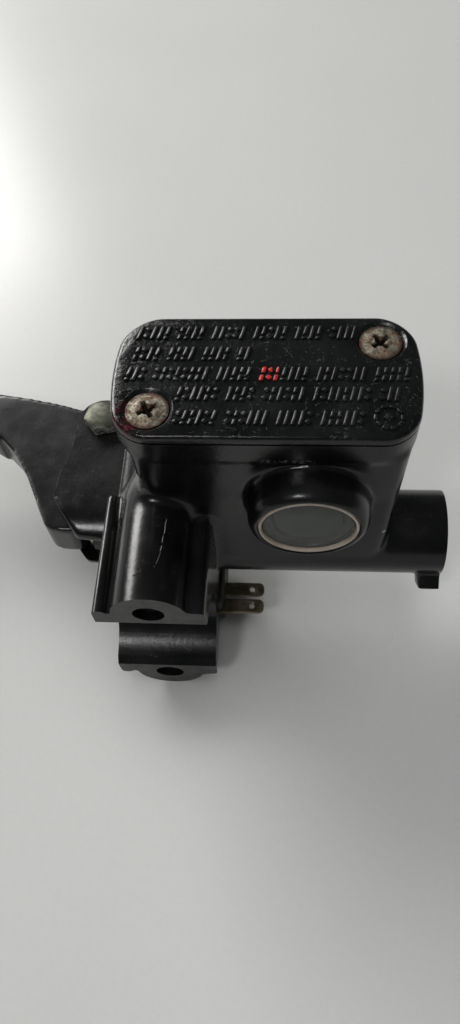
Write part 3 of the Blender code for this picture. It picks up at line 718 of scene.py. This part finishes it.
def machine_barrel(body):
    centre = (BARREL_Y, 0)
    mouth = [(0, -15), (8.2, -15), (8.2, BARREL_MOUTH - 0.2), (7.3, BARREL_MOUTH + 0.7), (7.3, -5.0)]
    mouth += [(7.7, -5.0), (7.7, -3.4), (7.3, -3.4), (7.3, -3.0), (BORE_RADIUS, -2.4), (0, -2.4)]
    cut(body, turned("x", centre, mouth))
    cut(body, rod("x", centre, BORE_RADIUS, -15, BORE_END, 72))
    outlet = [(0, 48.0), (3.6, 48.4)] + thread_profile(4.2, 1.25, 49.0, BARREL_END - 1.2)
    outlet += [(4.3, BARREL_END - 0.8), (5.1, BARREL_END), (5.1, BARREL_END + 3), (0, BARREL_END + 3)]
    cut(body, turned("x", centre, outlet))
    cut(body, rod("x", centre, 1.2, BORE_END - 2, 50, 24))
    trim = [(BARREL_RADIUS - 0.5, BARREL_END), (14, BARREL_END), (14, BARREL_END + 5), (0, BARREL_END + 5)]
    cut(body, turned("x", centre, trim + [(0, BARREL_END)]))


def machine_tank(body):
    """The trimmed rim, the cavity with its screw posts and ledge, the ports and the sight window."""
    cut(body, block((-20, 10, RIM_TOP), (70, 70, 60)))
    x, y = middle("diaphragm_plate").to_2d()
    cavity = prism("z", rounded_rectangle((22.7, 35.5), (44.4, 22.8), (4,) * 4), CAVITY_FLOOR, 50)
    fuse(cavity, prism("z", rounded_rectangle((x, y), (51.0, 24.6), (4,) * 4), 40.3, 50))
    for place in (SCREW_FRONT, SCREW_REAR):
        cut(cavity, rod("z", place.to_2d(), 4.6, 0, 60, 48))
    cut(body, cavity)
    for place in (SCREW_FRONT, SCREW_REAR):
        cut(body, rod("z", place.to_2d(), 2.2, 27, 50, 32))
    port = middle("port_protector").x
    cut(body, rod("z", (port - 6.8, BARREL_Y), 1.4, 0, CAVITY_FLOOR + 2, 24))
    cut(body, rod("z", (port + 4.7, BARREL_Y), 0.5, 0, CAVITY_FLOOR + 2, 16))
    recess = [(0, 10), (SIGHT_RECESS + 0.5, 10), (SIGHT_RECESS + 0.5, SIGHT_FACE - 0.1)]
    recess += [(SIGHT_RECESS, SIGHT_FACE + 0.4), (SIGHT_RECESS, SIGHT_SEAT), (SIGHT_HOLE, SIGHT_SEAT)]
    cut(body, turned("y", SIGHT, recess + [(SIGHT_HOLE, 30), (0, 30)], 96))


# Reservoir lid

MARK_HEIGHT = 0.34  # of the raised hatching


def lid_mark(bm, place, size, height, slant=0.0, turn=0.0):
    """A raised bar with sloping sides: its place, length and breadth, and how far its far end leans."""
    rings = []
    for z, grow in ((-0.2, 0.14), (height - 0.17, 0.08), (height - 0.05, 0.02), (height, -0.08)):
        outline = rounded_rectangle((0, 0), (size[0] + 2 * grow, size[1] + 2 * grow), (0.14 + grow,) * 4, 2)
        c, s = math.cos(turn), math.sin(turn)
        lean = [(u + slant * v, v) for u, v in outline]
        spots = [(place[0] + c * u - s * v, place[1] + s * u + c * v, place[2] + z) for u, v in lean]
        rings.append([bm.verts.new(spot) for spot in spots])
    for lower, upper in zip(rings, rings[1:]):
        for i in range(len(lower)):
            j = (i + 1) % len(lower)
            bm.faces.new((lower[i], lower[j], upper[j], upper[i]))
    bm.faces.new(rings[0])
    bm.faces.new(rings[-1])


def lid_group(bm, kind, x, y, top):
    """One raised sign of the hatching: a slanted bar, a broken bar, two diamonds or a bar with a dot."""
    lean = 0.24  # how far a bar leans to the side for each millimetre of its length
    bar = 0.6
    if kind == "bar":
        lid_mark(bm, (x, y, top), (bar, 3.0), MARK_HEIGHT, lean)
    elif kind == "broken":
        for dy in (-0.95, 0.85):
            lid_mark(bm, (x + lean * dy, y + dy, top), (bar, 1.15), MARK_HEIGHT, lean)
    elif kind == "diamonds":
        for dy in (-0.85, 0.85):
            lid_mark(bm, (x + lean * dy, y + dy, top), (0.8, 0.8), MARK_HEIGHT, 0.0, math.radians(45))
    else:
        lid_mark(bm, (x + lean * 0.5, y + 0.5, top), (bar, 1.9), MARK_HEIGHT, lean)
        lid_mark(bm, (x - lean * 1.3, y - 1.3, top), (0.7, 0.5), MARK_HEIGHT, lean)


def lid_rows(top):
    """Raised hatching: rows of signs in groups, and a round rosette at the end of the front row."""
    bm = bmesh.new()
    draw = random.Random(7)
    # each row: where it starts and ends along X, and its Y
    rows = ((-1.4, 38.4, 45.2), (-1.6, 19.4, 40.2), (-2.6, 47.4, 35.5))
    rows += ((7.0, 45.8, 31.0), (7.0, 40.2, 25.8))
    pitch = 1.28
    clearance = 5.4  # kept free of signs round the front screw
    for start, end, y in rows:
        x, group = start, draw.randint(3, 6)
        while x < end:
            far = (x - SCREW_FRONT.x) ** 2 + (y - SCREW_FRONT.y) ** 2 > clearance**2
            if group and far:
                lid_group(bm, draw.choice(("bar", "bar", "broken", "diamonds", "dotted")), x, y, top)
                group -= 1
            else:
                group = draw.randint(4, 8)
            x += pitch
    rosette = (43.7, 26.0)
    for i in range(10):
        angle = math.tau * i / 10
        centre = (rosette[0] + 2.3 * math.cos(angle), rosette[1] + 2.3 * math.sin(angle), top)
        lid_mark(bm, centre, (0.55, 1.1), MARK_HEIGHT, 0.0, angle)
    lid_mark(bm, (*rosette, top), (1.4, 1.4), MARK_HEIGHT, 0.0, math.radians(45))
    return object_of("rows", bm)


def lid():
    top = LID_HIGH.z - MARK_HEIGHT
    levels = ((0.15, LID_LOW.z), (0.0, LID_LOW.z + 0.15), (0.0, top - 0.9), (0.08, top - 0.55))
    levels += ((0.27, top - 0.27), (0.55, top - 0.08), (0.9, top))
    rings = [[(u, v, z) for u, v in tank_outline(inset)] for inset, z in levels]
    made = loft("lid", rings)
    fuse(made, lid_rows(top))
    for place in (SCREW_FRONT, SCREW_REAR):
        sink = [(0, 40), (2.5, 40), (2.5, 42.6), (4.3, 44.3), (4.45, top - 0.2)]
        sink += [(4.75, top), (4.75, 47), (0, 47)]
        cut(made, turned("z", place.to_2d(), sink, 64))
    shade(made, 32)
    return made


def lid_screw(name, node, turn):
    """A countersunk screw with a slightly domed head and a short, worn cross recess."""
    low, high = corners(node)
    place, top = middle(node).to_2d(), high.z
    dome = [(3.2 * (1 - i / 6), top - 0.35 * (1 - i / 6) ** 2) for i in range(7)]
    profile = [(0, low.z), (1.5, low.z), (1.9, low.z + 0.5), (1.9, 42.6)]
    profile += [(3.75, top - 0.85), (3.98, top - 0.6), (3.9, top - 0.42)] + dome
    screw = turned("z", place, profile, 64, name)
    dip = [(0, top - 0.9), (0.7, top - 0.7), (1.15, top - 0.2), (1.35, top + 1), (0, top + 1)]
    cut(screw, turned("z", place, dip, 40))
    for angle in (math.radians(turn), math.radians(turn + 90)):
        along = Vector((math.cos(angle), math.sin(angle)))
        across = Vector((-along.y, along.x))
        rings = []
        for z, reach, half in ((top - 1.7, 0.7, 0.26), (top - 0.3, 1.95, 0.5), (top + 1, 2.3, 0.62)):
            ring = [(-reach, -half), (reach, -half), (reach, half), (-reach, half)]
            rings.append([(*(place + along * u + across * v), z) for u, v in ring])
        cut(screw, loft("wing", rings))
    shade(screw, 35)
    return screw


# Sight glass


def sight_ring():
    front, back = RING_LOW.y, RING_HIGH.y
    profile = [(8.9, front + 0.4), (9.0, front), (9.4, front), (9.6, front + 0.4), (9.6, back), (8.9, back)]
    made = turned("y", SIGHT, rounded(profile, 0.12, 3), 128, "ring")
    shade(made, 40)
    return made


def sight_lens():
    """A flat clear disc with a soft edge."""
    front, back = LENS_LOW.y, LENS_HIGH.y
    profile = [(0, front), (8.5, front), (8.8, front + 0.25), (8.8, back), (0, back)]
    made = turned("y", SIGHT, rounded(profile, 0.2, 3), 128, "lens_disc")
    shade(made, 40)
    return made


# Lever


def lever_stations():
    """Stations of the finger blade: x, y, width, height and corner radius."""
    return (
        (-40.0, 54.6, 13.4, 10.0, 1.2), (-46.0, 56.9, 11.6, 10.0, 1.5), (-56.0, 59.5, 10.2, 9.6, 2.3),
        (-72.0, 61.6, 9.6, 9.0, 3.1), (-92.0, 62.0, 9.2, 8.6, 3.2), (-114.0, 60.6, 9.0, 8.4, 3.1),
        (-136.0, 57.2, 9.0, 8.2, 3.0), (-155.0, 53.0, 8.8, 8.0, 2.9), (-169.0, 49.6, 8.2, 7.6, 2.7),
    )


def catmull_rom(p, q, r, s, t):
    """The value at share t of the stretch from q to r."""
    slope, bend, twist = r - p, 2 * p - 5 * q + 4 * r - s, 3 * q - p - 3 * r + s
    return 0.5 * (2 * q + slope * t + bend * t**2 + twist * t**3)


def lever_blade():
    stations = lever_stations()
    rows = [stations[0], *stations, stations[-1]]
    path = []
    for stretch in zip(rows, rows[1:], rows[2:], rows[3:]):
        path += [[catmull_rom(*values, i / 6) for values in zip(*stretch)] for i in range(6)]
    path.append(list(stations[-1]))
    rings = []
    for i, (x, y, width, height, radius) in enumerate(path):
        before, after = path[max(i - 1, 0)], path[min(i + 1, len(path) - 1)]
        heading = Vector((after[0] - before[0], after[1] - before[1], 0)).normalized()
        across = Vector((-heading.y, heading.x, 0))
        section = rounded_rectangle((0, 0), (width, height), (radius,) * 4, 6)
        rings.append([Vector((x, y, 0)) + across * u + Vector((0, 0, v)) for u, v in section])
    return loft("blade", rings)


def lever():
    plate = arc(PIVOT, HUB_RADIUS, -120, 100, 32)
    plate += [(-23.0, 57.2), (-29.9, 59.2), (-37.2, 60.8), (-43.0, 61.5)]
    plate += [(-43.0, 50.0), (-37.9, 45.0), (-33.8, 38.8), (-30.0, 31.0), (-27.3, 25.6), (-26.0, 24.6)]
    plate += arc(KNOCKER, KNOCKER_RADIUS, -100, 30, 20)
    radius = LEVER_HIGH.z  # the ball at the tip is the lever's highest part
    tip = bmesh.new()
    bmesh.ops.create_uvsphere(tip, u_segments=48, v_segments=32, radius=radius)
    bmesh.ops.translate(tip, verts=tip.verts, vec=(LEVER_LOW.x + radius, 48.6, 0))
    masses = [prism("z", plate, -LEVER_HALF, LEVER_HALF), lever_blade(), object_of("tip", tip)]
    made = cast("lever_arm", masses, 0.5, 5)
    low = LEVER_LOW.z
    fuse(made, rod("z", FINGER, FINGER_RADIUS, low + 0.8, 0, 40))
    fuse(made, turned("z", FINGER, [(0, low), (1.2, low), (FINGER_RADIUS, low + 0.9), (0, low + 0.9)], 40))
    bush = [(0, -9), (PIVOT_HOLE + 0.9, -9), (PIVOT_HOLE + 0.9, -LEVER_HALF), (PIVOT_HOLE, -LEVER_HALF + 0.7)]
    bush += [(PIVOT_HOLE, LEVER_HALF - 0.7), (PIVOT_HOLE + 0.9, LEVER_HALF), (PIVOT_HOLE + 0.9, 9), (0, 9)]
    cut(made, turned("z", PIVOT, bush, 48))
    shade(made, 35)
    return made


def pivot_bolt():
    """A shoulder bolt whose low hexagon head is domed and chamfered."""
    low, high = corners("pivot_bolt")
    base = EAR_FLAT + 0.15
    shank = [(0, low.z), (2.4, low.z), (3.0, low.z + 0.6), (3.0, base + 1), (0, base + 1)]
    bolt = turned("z", PIVOT, shank, 64, "bolt")
    top = high.z - 0.4
    head = prism("z", hexagon(PIVOT, 7.4, 13), base, top)
    dome = [(0, base - 1), (6, base - 1), (4.4, top - 0.9), (3.4, top - 0.3), (2.4, top - 0.05), (0, top)]
    combine(head, turned("z", PIVOT, dome, 64), "INTERSECT")
    fuse(bolt, head)
    shade(bolt, 35)
    return bolt


def pivot_nut():
    """A flanged nut with a rolled collar and a plain bore."""
    low, high = corners("pivot_nut")
    nut = prism("z", hexagon(PIVOT, 10.0, 0), low.z + 0.3, high.z, "nut")
    crown = [(0, low.z + 0.3), (4.8, low.z + 0.3), (6.2, low.z + 1.2), (6.2, high.z + 1), (0, high.z + 1)]
    combine(nut, turned("z", PIVOT, crown, 64), "INTERSECT")
    flange = [(0, high.z - 1.3), (5.4, high.z - 1.3), (6.4, high.z - 0.7)]
    flange += [(6.4, high.z - 0.2), (6.2, high.z), (0, high.z)]
    fuse(nut, turned("z", PIVOT, flange, 96))
    fuse(nut, turned("z", PIVOT, [(0, low.z), (4.0, low.z), (4.3, low.z + 0.7), (0, low.z + 0.7)], 64))
    cut(nut, rod("z", PIVOT, 3.3, low.z - 1, high.z + 1, 64))
    shade(nut, 35)
    return nut


# Brake light switch


def switch_case():
    """A moulded case with a cover line, ribs along its front, slots for the terminals and holes for its screw
    and plunger.
    """
    low, high = HOUSING_LOW, HOUSING_HIGH
    centre, size = ((low.x + high.x) / 2, (low.y + high.y) / 2), (high.x - low.x, high.y - low.y)
    split = low.z + 3.2
    levels = ((1.0, low.z), (0.3, low.z + 0.25), (0.0, low.z + 0.9), (0.0, split - 0.15), (0.25, split))
    levels += ((0.0, split + 0.15), (0.0, high.z - 0.5), (0.5, high.z))
    rings = []
    for inset, z in levels:
        outline = rounded_rectangle(centre, (size[0] - 2 * inset, size[1] - 2 * inset), (1.6,) * 4, 6)
        rings.append([(u, v, z) for u, v in outline])
    case = loft("switch_case", rings)
    plunger = middle("switch_plunger")
    cut(case, rod("z", SWITCH_SCREW, 2.3, -30, 0, 48))
    cut(case, rod("x", (plunger.y, plunger.z), 1.8, -12, 6.5, 40))
    for node in ("switch_terminal_front", "switch_terminal_rear"):
        a, b = corners(node)
        cut(case, block((high.x - 3, a.y - 0.3, a.z - 0.3), (high.x + 1, b.y + 0.3, b.z + 0.3)))
    for x in (-4.0, -1.6, 7.0, 9.4):
        cut(case, block((x, low.y - 1, low.z + 4.6), (x + 0.9, low.y + 0.4, high.z - 1.6)))
    shade(case, 30)
    return case


def terminal(name, node):
    """A spade terminal with rolled edges and a small hole by its rounded tip."""
    low, high = corners(node)
    y, half = (low.y + high.y) / 2, (high.y - low.y) / 2
    rings = []
    for z, inset in ((low.z, 0.18), (low.z + 0.18, 0.0), (high.z - 0.18, 0.0), (high.z, 0.18)):
        size = (high.x - low.x - 2 * inset, 2 * half - 2 * inset)
        outline = rounded_rectangle(((low.x + high.x) / 2, y), size, (0.3, 1.3, 1.3, 0.3), 8)
        rings.append([(u, v, z) for u, v in outline])
    blade = loft(name, rings)
    hole = [(0, low.z - 1), (0.95, low.z - 1), (0.95, low.z), (0.65, low.z + 0.2), (0.65, high.z - 0.2)]
    hole += [(0.95, high.z), (0.95, high.z + 1), (0, high.z + 1)]
    cut(blade, turned("z", (high.x - 2.8, y), hole, 32))
    cut(blade, block((low.x + 3.4, y - 0.35, high.z - 0.16), (high.x - 4.4, y + 0.35, high.z + 1)))
    shade(blade, 35)
    return blade


def pan_screw():
    """The pan-head screw under the switch, with its cross recess facing down."""
    low, high = corners("switch_screw")
    head = HOUSING_LOW.z - 0.3
    profile = [(0, low.z)] + arc((1.2, low.z + 1.9), 1.9, -90, -10, 8)
    profile = [(r * 1.1 if r > 1.3 else r, t) for r, t in profile]
    profile += [(3.5, head - 0.3), (3.3, head), (1.9, head), (1.9, high.z - 0.4)]
    profile += [(1.5, high.z), (0, high.z)]
    screw = turned("z", SWITCH_SCREW, profile, 64, "pan_screw")
    for across in ((1.9, 0.4), (0.4, 1.9)):
        corner = (SWITCH_SCREW.x - across[0], SWITCH_SCREW.y - across[1], low.z - 1)
        cut(screw, block(corner, (SWITCH_SCREW.x + across[0], SWITCH_SCREW.y + across[1], low.z + 1.3)))
    shade(screw, 35)
    return screw


def plunger_pin():
    low, high = corners("switch_plunger")
    centre = middle("switch_plunger")
    profile = [(0, low.x), (1.5, low.x), (1.5, high.x), (0, high.x)]
    pin = turned("x", (centre.y, centre.z), rounded(profile, 0.7, 6), 48, "plunger_pin")
    shade(pin, 40)
    return pin


# Piston set


def spring():
    """A wire helix between the primary cup and the bore's end, its end coils closed up."""
    low, high = corners("return_spring")
    wire, turns, per_turn = 0.45, 8, 36
    coil = (high.y - low.y) / 2 - wire
    start, end = low.x + wire, high.x - wire
    rings = []
    for i in range(turns * per_turn + 1):
        share = i / (turns * per_turn)
        x = start + (end - start) * (share - 0.5 / turns * math.sin(math.tau * share))
        angle = math.tau * i / per_turn
        outward = Vector((0, math.cos(angle), math.sin(angle)))
        centre = Vector((x, BARREL_Y, 0)) + outward * coil
        rings.append([centre + outward * u + Vector((v, 0, 0)) for u, v in circle((0, 0), wire, 12)])
    made = loft("spring", rings)
    shade(made, 50)
    return made


def boot():
    """A rubber boot whose folds swell towards the barrel."""
    low, high = corners("dust_boot")
    start, end = low.x, high.x
    steps = 60
    outer, inner = [], []
    for i in range(steps + 1):
        t = i / steps
        wave = 0.45 * math.sin(math.tau * (2.6 * t - 0.2)) * min(1, 6 * t) * min(1, 5 * (1 - t))
        centre = 4.95 + 0.9 * t + wave
        half = 0.35 + 0.12 * (t > 0.85)
        x = start + (end - start) * t
        outer.append((min(centre + half, 7.0), x))
        inner.append((max(centre - half, 4.3), x))
    made = turned("x", (BARREL_Y, 0), outer + inner[::-1], 72, "boot")
    shade(made, 45)
    return made


def piston_rod():
    """The anodised piston: its rounded rod, two cup grooves and a spring spigot."""
    low, high = corners("piston")
    profile = [(0, low.x), (4.0, low.x), (4.0, -2.6), (5.2, -2.6), (5.2, -0.8), (3.3, -0.8), (3.3, 2.6)]
    profile += [(5.2, 2.6), (5.2, 4.2), (3.3, 4.2), (3.3, 13.4), (5.2, 13.4), (5.2, 15.2), (2.2, 15.2)]
    profile += [(2.2, high.x), (0, high.x)]
    made = turned("x", (BARREL_Y, 0), rounded(profile, 0.4, 4), 72, "piston_spool")
    shade(made, 35)
    return made


# Scene


def dress(piece, material, body, slot, *nodes):
    """Gives a piece its material, hangs it on what it rides on and hides the CAD nodes it stands for."""
    piece.data.materials.clear()
    piece.data.materials.append(material)
    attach(piece, body)
    if nodes:
        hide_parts(*nodes)


def build_pieces():
    body = "cylinder_body"
    dress(casting(), casting_paint(), body, "body_paint", "body_casting")
    dress(lid(), lid_paint(), body, "lid_paint", "reservoir_lid")
    for side, turn in (("front", 30), ("rear", 40)):
        node = f"lid_screw_{side}"
        rust = rusty_screw(f"screw_steel_{side}", middle(node), corners(node)[1].z)
        dress(lid_screw(f"screw_{side}", node, turn), rust, body, "screw_steel", node)
    cream = plastic(
        "ring_plastic", (0.60, 0.53, 0.45), (0.46, 0.38, 0.31), 0.42, 4.0, 0.02, (0.2, 0.15, 0.12)
    )
    dress(sight_ring(), cream, body, "ring_plastic", "sight_ring")
    dress(sight_lens(), lens_glass(), body, "lens", "sight_lens")
    arm = lever()
    dress(arm, lever_paint(), "lever", "lever_paint", "brake_lever")
    zinc = corroded_zinc()
    dress(pivot_bolt(), zinc, body, "zinc_steel", "pivot_bolt")
    dress(pivot_nut(), zinc, body, "zinc_steel", "pivot_nut")
    black = plastic(
        "switch_plastic", (0.022, 0.021, 0.02), (0.012, 0.012, 0.012), 0.45, 5.0, 0.015, (0.07, 0.06, 0.05)
    )
    dress(switch_case(), black, body, "switch_plastic", "switch_housing")
    brass = metal(
        "terminal_brass", (0.36, 0.31, 0.2), (0.2, 0.17, 0.11), 0.42, 0.5, 0.03, (0.12, 0.1, 0.07), 0.52
    )
    for side in ("front", "rear"):
        node = f"switch_terminal_{side}"
        dress(terminal(f"terminal_{side}", node), brass, body, "terminal_brass", node)
    dull = metal(
        "switch_screw_steel", (0.45, 0.42, 0.36), (0.28, 0.26, 0.22), 0.45, 0.4, 0.03,
        (0.16, 0.08, 0.05), 0.56,
    )
    dress(pan_screw(), dull, body, "screw_steel", "switch_screw")
    pale = plastic(
        "pale_plastic", (0.62, 0.60, 0.54), (0.52, 0.49, 0.42), 0.42, 5.0, 0.01, (0.3, 0.27, 0.22)
    )
    dress(plunger_pin(), pale, "plunger", "pale_plastic", "switch_plunger")
    rubber = plastic(
        "rubber", (0.03, 0.03, 0.029), (0.016, 0.016, 0.016), 0.6, 4.0, 0.02, (0.07, 0.066, 0.06)
    )
    bright = metal("bright_steel", (0.62, 0.61, 0.58), (0.42, 0.41, 0.39), 0.3, 0.4, 0.01)
    coil, bellows = spring(), boot()
    dress(coil, bright, body, "bright_steel", "return_spring")
    dress(bellows, rubber, body, "rubber", "dust_boot")
    alloy = metal("piston_alloy", (0.55, 0.50, 0.40), (0.42, 0.38, 0.30), 0.32, 0.5, 0.008)
    dress(piston_rod(), alloy, "piston_set", "piston_alloy", "piston")
    paint_nodes(rubber, pale, bright)
    squash_soft(coil, bellows)


def paint_nodes(rubber, pale, bright):
    """The CAD nodes that are shown as they are get the detailed materials."""
    back = plastic(
        "backplate_plastic", (0.15, 0.165, 0.13), (0.11, 0.12, 0.095), 0.5, 5.0, 0.02, (0.07, 0.075, 0.06)
    )
    dark = metal("dark_steel", (0.16, 0.16, 0.165), (0.09, 0.09, 0.095), 0.35, 0.4, 0.01)
    looks = {
        "diaphragm": rubber, "primary_cup": rubber, "secondary_cup": rubber, "sight_seal": rubber,
        "diaphragm_plate": pale, "port_protector": bright, "sight_backplate": back, "circlip": dark,
    }
    for node, material in looks.items():
        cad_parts[node].material_slots[0].material = material


def squash_soft(coil, bellows):
    """Gives the spring and the boot meshes of their own."""
    for piece, node in ((coil, "return_spring"), (bellows, "dust_boot")):
        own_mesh(piece)


def floor_stage():
    """A plain pale floor under the object's lowest point."""
    size, level = 4.0, cad_low.z - 0.0002
    bm = bmesh.new()
    bmesh.ops.create_grid(bm, x_segments=1, y_segments=1, size=size / 2)
    floor = bpy.data.objects.new("floor", bpy.data.meshes.new("floor"))
    bm.to_mesh(floor.data)
    bm.free()
    floor.location.z = level
    bpy.context.scene.collection.objects.link(floor)
    s = Surface("floor_tile")
    colour = s.mix(s.noise(120.0, 3.0, 0.5), (0.57, 0.572, 0.56), (0.65, 0.648, 0.635))
    colour = s.mix(s.step(s.noise(1.5, 5.0, 0.7), 0.3, 0.7, 0.0, 0.12), colour, (0.48, 0.478, 0.465))
    roughness = s.step(s.noise(90.0, 2.0, 0.4), 0.3, 0.7, 0.27, 0.32)
    floor.data.materials.append(s.finish(colour, roughness))


def area_light(name, place, target, size, power, colour=(1, 1, 1)):
    light = bpy.data.lights.new(name, "AREA")
    light.shape, light.size, light.size_y = "RECTANGLE", size[0], size[1]
    light.energy, light.color = power, colour
    holder = bpy.data.objects.new(name, light)
    holder.location = place
    holder.rotation_mode = "QUATERNION"
    holder.rotation_quaternion = (Vector(target) - Vector(place)).to_track_quat("-Z", "Y")
    bpy.context.scene.collection.objects.link(holder)
    return holder


def lighting():
    """A window behind on the left, a ceiling lamp and a soft fill that leaves no reflection."""
    world = bpy.data.worlds.new("studio")
    world.use_nodes = True
    world.node_tree.nodes["Background"].inputs[0].default_value = (0.9, 0.95, 1.0, 1)
    world.node_tree.nodes["Background"].inputs[1].default_value = 0.07
    bpy.context.scene.world = world
    bpy.context.scene.view_settings.view_transform = "Standard"
    aim = (0.01, 0.02, 0.0)
    area_light("window", (-0.66, 0.70, 0.52), aim, (0.75, 0.36), 11.0, (1.0, 0.99, 0.97))
    area_light("ceiling", (-0.42, -0.7, 1.2), aim, (0.22, 0.22), 4.0)
    fill = area_light("fill", (0.1, 0.1, 1.3), aim, (1.0, 1.0), 6.0)
    fill.visible_glossy = False


def camera():
    """Looks down at the object at 60 degrees from its rider's side."""
    forward = Vector((-0.07285, 0.49021, -0.86856)).normalized()
    right = Vector((0.99724, 0.04821, -0.05643)).normalized()
    up = right.cross(forward).normalized()
    right = forward.cross(up).normalized()
    data = bpy.data.cameras.new("camera")
    data.sensor_width, data.lens = 36.0, 27.67
    made = bpy.data.objects.new("camera", data)
    place = (0.026476, -0.05551, 0.155425)
    turn = Matrix((right, up, -forward)).transposed()
    made.matrix_world = Matrix.Translation(place) @ turn.to_4x4()
    bpy.context.scene.collection.objects.link(made)
    bpy.context.scene.camera = made


build_pieces()
floor_stage()
lighting()
camera()
